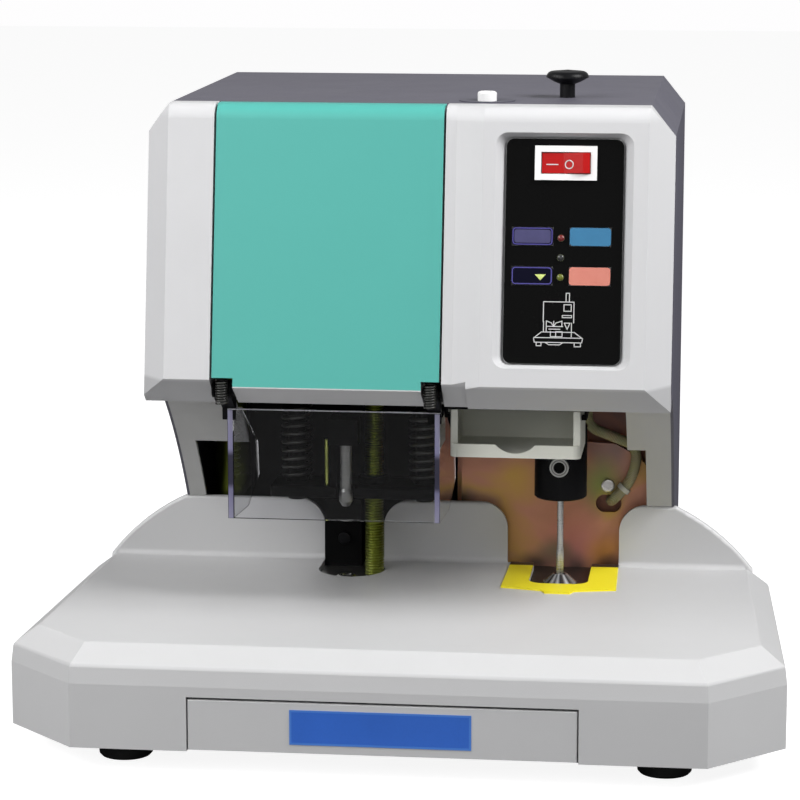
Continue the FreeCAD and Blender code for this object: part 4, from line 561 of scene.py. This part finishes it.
def cutAway(piece, cutter):
    useModifier(piece, "BOOLEAN", object=cutter, operation="DIFFERENCE", solver="EXACT")
    bpy.data.objects.remove(cutter, do_unlink=True)


def facing(direction):
    return direction.to_track_quat("Z", "Y").to_matrix().to_4x4()


def placeBy(piece, matrix):
    piece.data.transform(matrix)
    piece.data.update()
    piece.matrix_world = Matrix.Identity(4)


def moveTo(piece, place):
    placeBy(piece, Matrix.Translation(place))


def smoothBy(piece, angle):
    onlySelect(piece)
    bpy.ops.object.shade_smooth_by_angle(angle=math.radians(angle))


def finishPiece(piece, name, material, body, replaced=(), smoothAngle=35):
    piece.name = name
    piece.data.name = name
    piece.data.materials.clear()
    piece.data.materials.append(material)
    smoothBy(piece, smoothAngle)
    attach(piece, body)
    if replaced:
        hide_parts(*replaced)


def addBlock(low, high, bevel=0.0):
    # a block between two corners, in metres, its edges softened where a width is given
    bpy.ops.mesh.primitive_cube_add(size=1, location=(low + high) / 2)
    piece = bpy.context.object
    piece.scale = high - low
    applyPlace(piece)
    if bevel > 0:
        softenEdges(piece, bevel)
    return piece


def addDrum(radius, height, sides=32, bevel=0.0):
    # a drum standing on the local origin, its rim softened
    bpy.ops.mesh.primitive_cylinder_add(vertices=sides, radius=radius / 1000, depth=height / 1000,
                                        location=(0, 0, height / 2000))
    piece = bpy.context.object
    applyPlace(piece)
    if bevel > 0:
        softenEdges(piece, bevel / 1000, leastTurn=50)
    return piece


def joinPieces(pieces):
    bpy.ops.object.select_all(action="DESELECT")
    for piece in pieces:
        piece.select_set(True)
    bpy.context.view_layer.objects.active = pieces[0]
    if len(pieces) > 1:
        bpy.ops.object.join()
    return bpy.context.object


def addStroke(points, width, height, closed=False):
    # flat bars along a drawn line in local X and Y, in millimetres, joined into one mesh
    points = [(x / 1000, y / 1000) for x, y in points]
    ends = list(zip(points, points[1:] + points[:1]))
    bars = []
    for (x0, y0), (x1, y1) in ends if closed else ends[:-1]:
        bpy.ops.mesh.primitive_cube_add(
            size=1, location=((x0 + x1) / 2, (y0 + y1) / 2, height / 2000),
            rotation=(0, 0, math.atan2(y1 - y0, x1 - x0)))
        bar = bpy.context.object
        bar.scale = (math.hypot(x1 - x0, y1 - y0) + width / 1000, width / 1000, height / 1000)
        applyPlace(bar)
        bars.append(bar)
    return joinPieces(bars)


# screws, modelled once and copied
screwLook = {"head": 3.8, "tall": 1.9, "edge": 1.1, "crossReach": 2.3, "crossWide": 0.75, "crossDeep": 1.1,
             "plate": (100.3, 218, 108.6), "rearColumns": (-130, 130), "rearRows": (305, 200, 112, 26),
             "rearSize": 0.75, "footSize": 0.9, "footRise": 3}


def makePanScrew():
    look = screwLook
    top, deep = look["tall"], look["crossDeep"]
    head = addDrum(look["head"], top, sides=28)
    pickInEdit(head, "EDGE", lambda edge: all(v.co.z > top / 1000 - 1e-6 for v in edge.verts))
    bpy.ops.mesh.bevel(offset=look["edge"] / 1000, segments=4, profile=0.6)
    leaveEdit()
    # the cross recess is cut with two crossed bars
    arms = (look["crossReach"], look["crossWide"])
    for x, y in (arms, arms[::-1]):
        cutAway(head, addBlock(Vector((-x, -y, top - deep)) / 1000, Vector((x, y, top + 1)) / 1000))
    return head


panScrew = makePanScrew()


def addScrew(name, place, outward, size=1.0, finish=finishes["bright_steel"]):
    copy = panScrew.copy()
    copy.data = panScrew.data.copy()
    bpy.context.scene.collection.objects.link(copy)
    placeBy(copy, Matrix.Translation(place) @ facing(Vector(outward)) @ Matrix.Scale(size, 4))
    finishPiece(copy, name, finish, "housing", smoothAngle=30)


def middleOf(node):
    low, high = (Vector(corner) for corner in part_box(node))
    return (low + high) / 2


addScrew("plateScrew", at(*screwLook["plate"]), (0, -1, 0), 1.0, finishes["chrome"])
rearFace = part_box("rear_cover")[1][1]
rearPlaces = [(x, z) for z in screwLook["rearRows"] for x in screwLook["rearColumns"]]
for index, (x, z) in enumerate(rearPlaces):
    addScrew(f"rearScrew{index + 1}", Vector((x / 1000, rearFace, z / 1000)), (0, 1, 0),
             screwLook["rearSize"], finishes["dark_steel"])
for foot in ("front_left", "front_right", "rear_left", "rear_right"):
    seat = middleOf("foot_" + foot)
    seat.z = screwLook["footRise"] / 1000
    addScrew(f"footScrew_{foot}", seat, (0, 0, -1), screwLook["footSize"])


# control panel: rocker marks, key prints, lamps and the small line drawing
def panelPiece(piece, x, height, raised, name, material, body="housing", slotName="panel_film"):
    placeBy(piece, panelMatrix(x, height, raised))
    finishPiece(piece, name, extra[material], body)


def addRoundedPlate(wide, tall, radius):
    # a flat plate in local X and Y with rounded corners
    bpy.ops.mesh.primitive_plane_add(size=1)
    plate = bpy.context.object
    plate.scale = (wide / 1000, tall / 1000, 1)
    applyPlace(plate)
    pickInEdit(plate, "VERT", lambda vertex: True)
    bpy.ops.mesh.bevel(offset=radius / 1000, segments=5, affect="VERTICES")
    leaveEdit()
    return plate


def addPrintedPad(wide, tall, radius, ink, line=None):
    # a thin printed field, or only its outline where a line width is given
    pad = addRoundedPlate(wide, tall, radius)
    if line:
        pickInEdit(pad, "FACE", lambda face: True)
        bpy.ops.mesh.inset(thickness=line / 1000, depth=0)
        bpy.ops.mesh.delete(type="FACE")
        leaveEdit()
    useModifier(pad, "SOLIDIFY", thickness=ink / 1000, offset=1.0)
    return pad


keyLook = {"wide": 21.0, "tall": 9.2, "round": 1.8, "rise": 0.8, "line": 0.55, "ink": 0.12, "margin": 0.4,
           "fillMargin": 2.4, "fillRound": 1.2, "dark": {"key_punch": (66, 266.5), "key_down": (66, 246.6)}}


def dressKeys():
    look = keyLook
    for key, place in look["dark"].items():
        outline = addPrintedPad(look["wide"] - look["margin"], look["tall"] - look["margin"], look["round"],
                                look["ink"], look["line"])
        panelPiece(outline, *place, look["rise"], key + "Frame", "violet ink", key, "key_dark")
    fill = addPrintedPad(look["wide"] - look["fillMargin"], look["tall"] - look["fillMargin"],
                         look["fillRound"], look["ink"] / 2)
    panelPiece(fill, *look["dark"]["key_punch"], look["rise"], "key_punchFill", "violet key", "key_punch",
               "key_dark")


dressKeys()

arrowLook = {"x": 70.35, "height": 246.3, "radius": 3.26, "squash": 0.65, "edge": 0.2}


def makeDownArrow():
    look = arrowLook
    ink = keyLook["ink"] / 1000
    bpy.ops.mesh.primitive_cylinder_add(vertices=3, radius=look["radius"] / 1000, depth=ink,
                                        location=(0, 0, ink / 2), rotation=(0, 0, math.radians(180)))
    arrow = bpy.context.object
    applyPlace(arrow)
    arrow.scale = (1.0, look["squash"], 1.0)
    applyPlace(arrow)
    softenEdges(arrow, look["edge"] / 1000, leastTurn=50)
    panelPiece(arrow, look["x"], look["height"], keyLook["rise"], "downArrow", "lime ink", "key_down",
               "key_dark")


makeDownArrow()

lampLook = {"x": 80.6, "top": 265.7, "pitch": 9.9, "radius": 1.7, "flat": 0.55, "rise": 0.7,
            "lenses": ("lamp red", "lamp clear", "lamp olive")}


def makeLampDome(index, lens):
    look = lampLook
    bpy.ops.mesh.primitive_uv_sphere_add(segments=20, ring_count=10, radius=look["radius"] / 1000)
    dome = bpy.context.object
    pickInEdit(dome, "VERT", lambda vertex: vertex.co.z < -1e-6)
    bpy.ops.mesh.delete(type="VERT")
    bpy.ops.mesh.select_all(action="SELECT")
    bpy.ops.mesh.edge_face_add()
    leaveEdit()
    dome.scale = (1, 1, look["flat"])
    applyPlace(dome)
    panelPiece(dome, look["x"], look["top"] - index * look["pitch"], look["rise"], f"lampDome{index + 1}",
               lens, "housing", "lamp_lens")


for index, lens in enumerate(lampLook["lenses"]):
    makeLampDome(index, lens)

# small outline of such a machine; each line is a list of points in millimetres and whether it closes
drawing = {"x": 79.9, "height": 221.4, "line": 0.42, "ink": 0.12}
strokes = [
    ([(3.9, 12.6), (3.9, 16.9), (5.6, 16.9), (5.6, 12.6)], False),
    ([(-7.6, 2.2), (-7.6, 12.4), (8.0, 12.4), (8.0, 1.8)], False),
    ([(2.9, 7.7), (6.6, 7.7), (6.6, 11.0), (2.9, 11.0)], True),
    ([(2.1, 4.4), (6.9, 4.4), (6.9, 5.5), (2.1, 5.5)], True),
    ([(-7.4, 2.2), (-7.4, -3.0)], False),
    ([(-6.0, -2.8), (-6.0, 2.6), (-3.4, 1.6), (-2.3, -0.2), (-1.0, 1.6), (2.0, 2.6), (2.0, -0.2)], False),
    ([(-6.0, -0.2), (2.4, -0.2)], False),
    ([(-2.2, 2.4), (-2.2, -0.2)], False),
    ([(-4.6, -1.6), (1.0, -1.6)], False),
    ([(3.2, 1.6), (6.1, 1.6), (4.7, -1.6)], True),
    ([(6.9, 1.6), (6.9, -5.4)], False),
    ([(-3.8, -2.8), (-3.8, -5.4), (-1.1, -5.4), (-1.1, -2.8)], False),
    ([(-1.1, -2.8), (2.2, -2.8), (2.2, -5.4), (-1.1, -5.4)], False),
    ([(-8.4, -3.1), (8.4, -3.1), (12.7, -6.3), (12.3, -8.4), (-12.0, -8.4), (-12.4, -6.3)], True),
    ([(-12.2, -6.0), (12.5, -6.0)], False),
    ([(-11.0, -8.4), (-11.0, -10.2), (-8.5, -10.2), (-8.5, -8.4)], False),
    ([(8.5, -8.4), (8.5, -10.4), (11.7, -10.4), (11.7, -8.4)], False),
    ([(-6.2, -8.6), (-4.6, -9.6), (0.8, -9.6), (2.4, -8.6)], False),
]
lines = [addStroke(points, drawing["line"], drawing["ink"], closed) for points, closed in strokes]
panelPiece(joinPieces(lines), drawing["x"], drawing["height"], 0.0, "panelDrawing", "white ink")

# marks on the rocker, a bar on its pushed-in half and a ring on the half that stands out
rockerLook = {"x": 82.4, "height": 303.5, "ink": 0.12, "bar": [(-9.8, -0.8), (-4.1, -0.8)], "barWide": 0.5,
              "barRise": 0.96, "ring": (1.7, -0.8), "ringRadius": 2.1, "ringWire": 0.28, "ringFlat": 0.5,
              "ringRise": 1.75, "ringAngle": 13.4}


def markRocker():
    look = rockerLook
    bar = addStroke(look["bar"], look["barWide"], look["ink"])
    panelPiece(bar, look["x"], look["height"], look["barRise"], "rockerBar", "white ink", "power_rocker",
               "switch_red")
    bpy.ops.mesh.primitive_torus_add(major_radius=look["ringRadius"] / 1000,
                                     minor_radius=look["ringWire"] / 1000, major_segments=28,
                                     minor_segments=6)
    ring = bpy.context.object
    ring.scale = (1, 1, look["ringFlat"])
    applyPlace(ring)
    ring.location = (look["ring"][0] / 1000, look["ring"][1] / 1000, 0)
    ring.rotation_euler = (0, -math.radians(look["ringAngle"]), 0)
    applyPlace(ring)
    panelPiece(ring, look["x"], look["height"], look["ringRise"], "rockerRing", "white ink", "power_rocker",
               "switch_red")


markRocker()
print("control panel dressed")

# drawer label, a bare blue field
labelLook = {"left": -48.4, "right": 43.4, "low": 17.7, "high": 35.8, "thick": 0.25, "rim": 1.1,
             "step": 0.06, "leastField": 0.0005}


def makeDrawerLabel():
    look = labelLook
    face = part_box("scrap_drawer")[0][1]
    low = Vector((look["left"] / 1000, face - look["thick"] / 1000, look["low"] / 1000))
    field = addBlock(low, Vector((look["right"] / 1000, face, look["high"] / 1000)))
    pickInEdit(field, "FACE", lambda side: side.normal.y < -0.5)
    bpy.ops.mesh.inset(thickness=look["rim"] / 1000, depth=-look["step"] / 1000)
    leaveEdit()
    finishPiece(field, "drawerLabel", extra["label edge"], "scrap_drawer")
    field.data.materials.append(extra["label blue"])
    for side in field.data.polygons:
        if side.normal.y < -0.9 and side.area > look["leastField"]:
            side.material_index = 1


makeDrawerLabel()

# the press's threaded column: one turn of thread, repeated up its length
threadLook = {"depth": 0.65, "pitch": 1.5, "sides": 32, "clear": 0.04, "flank": 0.4}


def makeThreadedScrew():
    look = threadLook
    low, high = (Vector(corner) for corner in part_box("press_screw"))
    crest, tall = (high.x - low.x) / 2 - look["clear"] / 1000, high.z - low.z
    root = crest - look["depth"] / 1000
    flank = crest * look["flank"] + root * (1 - look["flank"])
    count = round(tall * 1000 / look["pitch"])
    pitch = tall / count
    bpy.ops.mesh.primitive_cylinder_add(vertices=look["sides"], radius=root, depth=pitch,
                                        end_fill_type="NOTHING", location=(0, 0, pitch / 2))
    turn = bpy.context.object
    applyPlace(turn)
    pickInEdit(turn, "EDGE", lambda edge: abs(edge.verts[0].co.z - edge.verts[1].co.z) > 1e-5)
    bpy.ops.mesh.subdivide(number_cuts=3)
    leaveEdit()
    for share, reach in ((0.5, crest), (0.25, flank), (0.75, flank)):
        pickInEdit(turn, "VERT", lambda vertex: abs(vertex.co.z - share * pitch) < pitch * 0.1)
        bpy.ops.transform.resize(value=(reach / root, reach / root, 1),
                                 center_override=(0, 0, share * pitch))
        leaveEdit()
    useModifier(turn, "ARRAY", count=count, use_relative_offset=False, use_constant_offset=True,
                constant_offset_displace=(0, 0, pitch), use_merge_vertices=True, merge_threshold=1e-6)
    closeEnds(turn)
    moveTo(turn, ((low.x + high.x) / 2, (low.y + high.y) / 2, low.z))
    finishPiece(turn, "threadedScrew", extra["olive zinc"], "housing", ["press_screw"],
                smoothAngle=25)


makeThreadedScrew()

# the climbing plate, seen through the guard: thin, slotted for the die, with bosses round its columns
plateLook = {"left": -84, "right": 13, "setback": 168, "depth": 32.6, "low": 108.6, "thick": 5.9, "round": 3,
             "edge": 0.5, "slotLow": (-47, 167, 100), "slotHigh": (-37, 176.5, 120), "columnSetback": 186,
             "bossTall": 4, "bosses": ((-71.2, 6.2), (-28, 8.6), (0.2, 6.2))}


def makePressPlate():
    look = plateLook
    plate = addPrintedPad(look["right"] - look["left"], look["depth"], look["round"], look["thick"])
    moveTo(plate, at((look["left"] + look["right"]) / 2, look["setback"] + look["depth"] / 2, look["low"]))
    cutAway(plate, addBlock(at(*look["slotLow"]), at(*look["slotHigh"])))
    softenEdges(plate, look["edge"] / 1000, leastTurn=60)
    pieces = [plate]
    for x, radius in look["bosses"]:
        boss = addDrum(radius, look["bossTall"], bevel=0.4)
        moveTo(boss, at(x, look["columnSetback"], look["low"] + look["thick"]))
        pieces.append(boss)
    finishPiece(joinPieces(pieces), "pressPlate", finishes["black_paint"], "press",
                ["press_plate"])


makePressPlate()

# behind the yellow sheet: its two tails run back beside the notch, and behind them a dark strip of painted
# shade lies at the foot of the back plate
gaugeLook = {"outer": (46.6, 107.4), "notch": (59.7, 92.3), "front": 198.8, "seam": 201, "rear": 208.5,
             "low": 64.6, "thick": 0.9, "edge": 0.1}


def makeGaugeTails():
    look = gaugeLook
    (outerLeft, outerRight), (left, right) = look["outer"], look["notch"]
    high = look["low"] + look["thick"]
    # the dark strip stands for the shade at the foot of the back plate: painted shade
    for name, near, far, finish, slotName in (
            ("gaugeTails", look["front"], look["seam"], finishes["yellow_sheet"], "yellow_sheet"),
            ("backPlateShade", look["seam"], look["rear"], extra["bed steel"], "dark_steel")):
        strips = [addBlock(at(low, near, look["low"]), at(end, far, high), look["edge"] / 1000)
                  for low, end in ((outerLeft, left), (right, outerRight))]
        finishPiece(joinPieces(strips), name, finish, "housing")


makeGaugeTails()

# posts in and beside the press: a stub on the die's guide, the small rod and the zinc sleeve
stubLook = {"x": -47, "setback": 204, "height": 78, "radius": 3.6, "long": 3.0}
stub = addDrum(stubLook["radius"], stubLook["long"], sides=24, bevel=0.6)
placeBy(stub, Matrix.Translation(at(stubLook["x"], stubLook["setback"], stubLook["height"]))
        @ Matrix.Rotation(math.radians(90), 4, "X"))
finishPiece(stub, "dieGuideStub", finishes["dark_steel"], "housing")

rodLook = {"x": -52.5, "setback": 172, "low": 114.4, "high": 141, "radius": 1.3}
rod = addDrum(rodLook["radius"], rodLook["high"] - rodLook["low"], sides=20, bevel=0.4)
moveTo(rod, at(rodLook["x"], rodLook["setback"], rodLook["low"]))
finishPiece(rod, "sensorRod", extra["olive zinc"], "press")

sleeveLook = {"x": -115, "setback": 224, "low": 14.6, "high": 210, "radius": 9, "capTall": 4,
              "capShare": 0.6}
sleeve = addDrum(sleeveLook["radius"], sleeveLook["high"] - sleeveLook["low"], sides=36, bevel=0.8)
pickInEdit(sleeve, "FACE", lambda face: face.normal.z > 0.9)
bpy.ops.mesh.extrude_region_move(TRANSFORM_OT_translate={"value": (0, 0, sleeveLook["capTall"] / 1000)})
bpy.ops.transform.resize(value=(sleeveLook["capShare"], sleeveLook["capShare"], 1))
leaveEdit()
moveTo(sleeve, at(sleeveLook["x"], sleeveLook["setback"], sleeveLook["low"]))
finishPiece(sleeve, "zincSleeve", extra["dark olive"], "housing")


def makePressCoil(side):
    # a smoothed copy of the press spring, shown in place of the solid one
    solid = frame["nodes"]["press_spring_" + side]
    coil = bpy.data.objects.new("pressCoil" + side.capitalize(), solid.data.copy())
    bpy.context.collection.objects.link(coil)
    pickInEdit(coil, "VERT", lambda vertex: True)
    bpy.ops.mesh.remove_doubles(threshold=0.00001)
    leaveEdit()
    smoothBy(coil, angle=35)
    coil.data.materials.clear()
    coil.data.materials.append(extra["spring steel"])
    corners = [Vector(corner) for corner in coil.bound_box]
    middle = sum(corners, Vector()) / 8
    ends = [(middle.x, middle.y, pick(corner.z for corner in corners)) for pick in (min, max)]
    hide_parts("press_spring_" + side)
    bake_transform(coil)


makePressCoil("left")
makePressCoil("right")

# guard: tinted sawn edges with a painted dark band, a painted highlight along the top edge, and the small
# coil springs at its pivots
guardLook = {"left": -94.5, "right": 18.0, "front": 93.5, "sheet": 3.0, "low": 112.5, "high": 171.0,
             "skin": 0.12, "rim": 0.15, "inset": 0.2, "edge": 0.04}


def makeGuardEdges():
    look = guardLook
    inset, edge = look["inset"], look["edge"] / 1000
    inner = look["sheet"] - inset
    for name, start in (("guardEdgeLeft", look["left"] + inset), ("guardEdgeRight", look["right"] - inner)):
        sawn = addBlock(at(start, look["front"] - look["skin"], look["low"] + inset),
                        at(start + inner - inset, look["front"], look["high"] - inset), edge)
        finishPiece(sawn, name, extra["sawn edge"], "guard")
    # a near-white strip on the top edge of the clear sheet: painted highlight
    rim = addBlock(at(look["left"], look["front"], look["high"]),
                   at(look["right"], look["front"] + look["sheet"], look["high"] + look["rim"]), edge)
    finishPiece(rim, "guardEdgeTop", extra["rim highlight"], "guard")


makeGuardEdges()

springLook = {"radius": 2.9, "wire": 0.5, "turns": 9, "pitch": 1.35, "stepsPerTurn": 22, "sides": 10,
              "setback": 78.5, "low": 177, "places": {"Left": -94.8, "Right": 14.2}}


def makeGuardCoil(side, x):
    # a ring of wire swept upwards by the screw modifier
    look = springLook
    steps = look["stepsPerTurn"] * look["turns"]
    bpy.ops.mesh.primitive_circle_add(vertices=look["sides"], radius=look["wire"] / 1000,
                                      location=(look["radius"] / 1000, 0, 0),
                                      rotation=(math.radians(90), 0, 0))
    coil = bpy.context.object
    applyPlace(coil)
    useModifier(coil, "SCREW", angle=math.radians(360 * look["turns"]), axis="Z",
                screw_offset=look["pitch"] / 1000 * look["turns"], steps=steps, render_steps=steps,
                use_normal_calculate=True)
    closeEnds(coil)
    placeBy(coil, Matrix.Translation(at(x, look["setback"], look["low"])) @ facing(Vector((0, 0, 1))))
    finishPiece(coil, "guardCoil" + side, extra["spring steel"], "housing")


for side, x in springLook["places"].items():
    makeGuardCoil(side, x)
print("press and guard dressed")

# cable tie round the wires, with its lock on the right
tieLook = {"inner": 3.0, "outer": 3.9, "wide": 2.6, "place": (108.6, 212.6, 107.2),
           "wireLow": (102, 212, 99.5), "wireHigh": (114.5, 213, 114),
           "lockLow": (3.2, -1.8, -0.4), "lockHigh": (6.4, 1.8, 3.0), "lockEdge": 0.4}


def makeCableTie():
    look = tieLook
    band = addDrum(look["outer"], look["wide"], sides=24)
    pickInEdit(band, "FACE", lambda face: abs(face.normal.z) > 0.5)
    bpy.ops.mesh.inset(thickness=(look["outer"] - look["inner"]) / 1000, depth=0)
    bpy.ops.mesh.bridge_edge_loops()
    leaveEdit()
    lock = addBlock(Vector(look["lockLow"]) / 1000, Vector(look["lockHigh"]) / 1000, look["lockEdge"] / 1000)
    tie = joinPieces([band, lock])
    run = (at(*look["wireHigh"]) - at(*look["wireLow"])).normalized()
    placeBy(tie, Matrix.Translation(at(*look["place"])) @ facing(run))
    finishPiece(tie, "cableTie", extra["tie nylon"], "housing")


makeCableTie()

# room, light and camera
room = {"floor": 12.0, "drop": 0.0002, "shown": (0.40, 0.40, 0.402, 1), "bounce": (0.16, 0.16, 0.165, 1),
        "mirrored": (0.03, 0.03, 0.03, 1), "glow": 0.90, "backdrop": (0.99, 0.985, 0.99, 1),
        "horizon": 0.02, "zenith": 0.12, "sheen": 0.42}


def addFloor():
    # pale paper; what it throws back at the machine is kept low
    bpy.ops.mesh.primitive_plane_add(size=room["floor"], location=(0, 0, -room["drop"]))
    paper = bpy.context.object
    paper.name = "studioFloor"
    paint, tree, principled = newFinish("studioPaper", Roughness=0.9)
    fibre = addNode(tree, "TexNoise", Vector=objectPlace(tree), Scale=40.0, Detail=4.0)
    seen = addMix(tree, 0.03, room["shown"], fibre.outputs["Color"], blend="MULTIPLY")
    path = addNode(tree, "LightPath").outputs
    back = addMix(tree, path["Is Glossy Ray"], room["bounce"], room["mirrored"])
    feed(tree, principled, "Base Color", addMix(tree, path["Is Camera Ray"], back, seen))
    feed(tree, principled, "Emission Strength",
         reckon(tree, "MULTIPLY", path["Is Camera Ray"], room["glow"]))
    paper.data.materials.append(paint)


def makeWorld():
    # white behind the machine, and a dim even sky for its light and reflections
    world = bpy.data.worlds.new("studioWorld")
    bpy.context.scene.world = world
    world.use_nodes = True
    tree = world.node_tree
    tree.nodes.clear()
    upwards = heightOf(tree, addNode(tree, "TexCoord").outputs["Generated"])
    sky = addNode(tree, "Background",
                  Strength=addRange(tree, upwards, target=(room["horizon"], room["zenith"])))
    sheen = addNode(tree, "Background", Strength=room["sheen"])
    backdrop = addNode(tree, "Background", Strength=1.0, Color=room["backdrop"])
    path = addNode(tree, "LightPath").outputs
    shown = sky.outputs[0]
    for ray, other in (("Is Glossy Ray", sheen), ("Is Camera Ray", backdrop)):
        mix = addNode(tree, "MixShader")
        for index, source in enumerate((path[ray], shown, other.outputs[0])):
            feed(tree, mix, index, source)
        shown = mix.outputs[0]
    addNode(tree, "OutputWorld", Surface=shown)


addFloor()
makeWorld()

lights = {
    "rightSoftbox": {"place": (1.2, -0.45, 1.3), "size": 0.9, "power": 34},
    "leftSoftbox": {"place": (-1.2, -0.4, 1.2), "size": 0.9, "power": 12},
    "frontSoftbox": {"place": (-0.95, -1.1, 0.9), "size": 0.9, "power": 13},
    "lowSoftbox": {"place": (0.15, -1.9, 0.55), "size": 1.0, "power": 3},
}
lightsAim = Vector((0, 0, 0.12))
for name, look in lights.items():
    bpy.ops.object.light_add(type="AREA", location=look["place"])
    lamp = bpy.context.object
    lamp.name = name
    lamp.data.size = look["size"]
    lamp.data.energy = look["power"]
    lamp.rotation_euler = (lightsAim - Vector(look["place"])).to_track_quat("-Z", "Y").to_euler()

camLook = {"place": (0.17560, -1.62147, 0.46585), "yaw": -0.114404, "pitch": -0.181896, "lens": 137.23,
           "sensor": 36.0, "nearest": 0.05, "furthest": 20.0}
bpy.ops.object.camera_add(location=camLook["place"])
camera = bpy.context.object
camera.data.lens = camLook["lens"]
camera.data.sensor_width = camLook["sensor"]
camera.data.clip_start = camLook["nearest"]
camera.data.clip_end = camLook["furthest"]
yaw, pitch = camLook["yaw"], camLook["pitch"]
forward = Vector((math.sin(yaw) * math.cos(pitch), math.cos(yaw) * math.cos(pitch), math.sin(pitch)))
camera.rotation_euler = forward.to_track_quat("-Z", "Y").to_euler()
bpy.context.scene.camera = camera
bpy.context.scene.view_settings.view_transform = "Standard"
bpy.data.objects.remove(panScrew, do_unlink=True)
print("camera and light set")
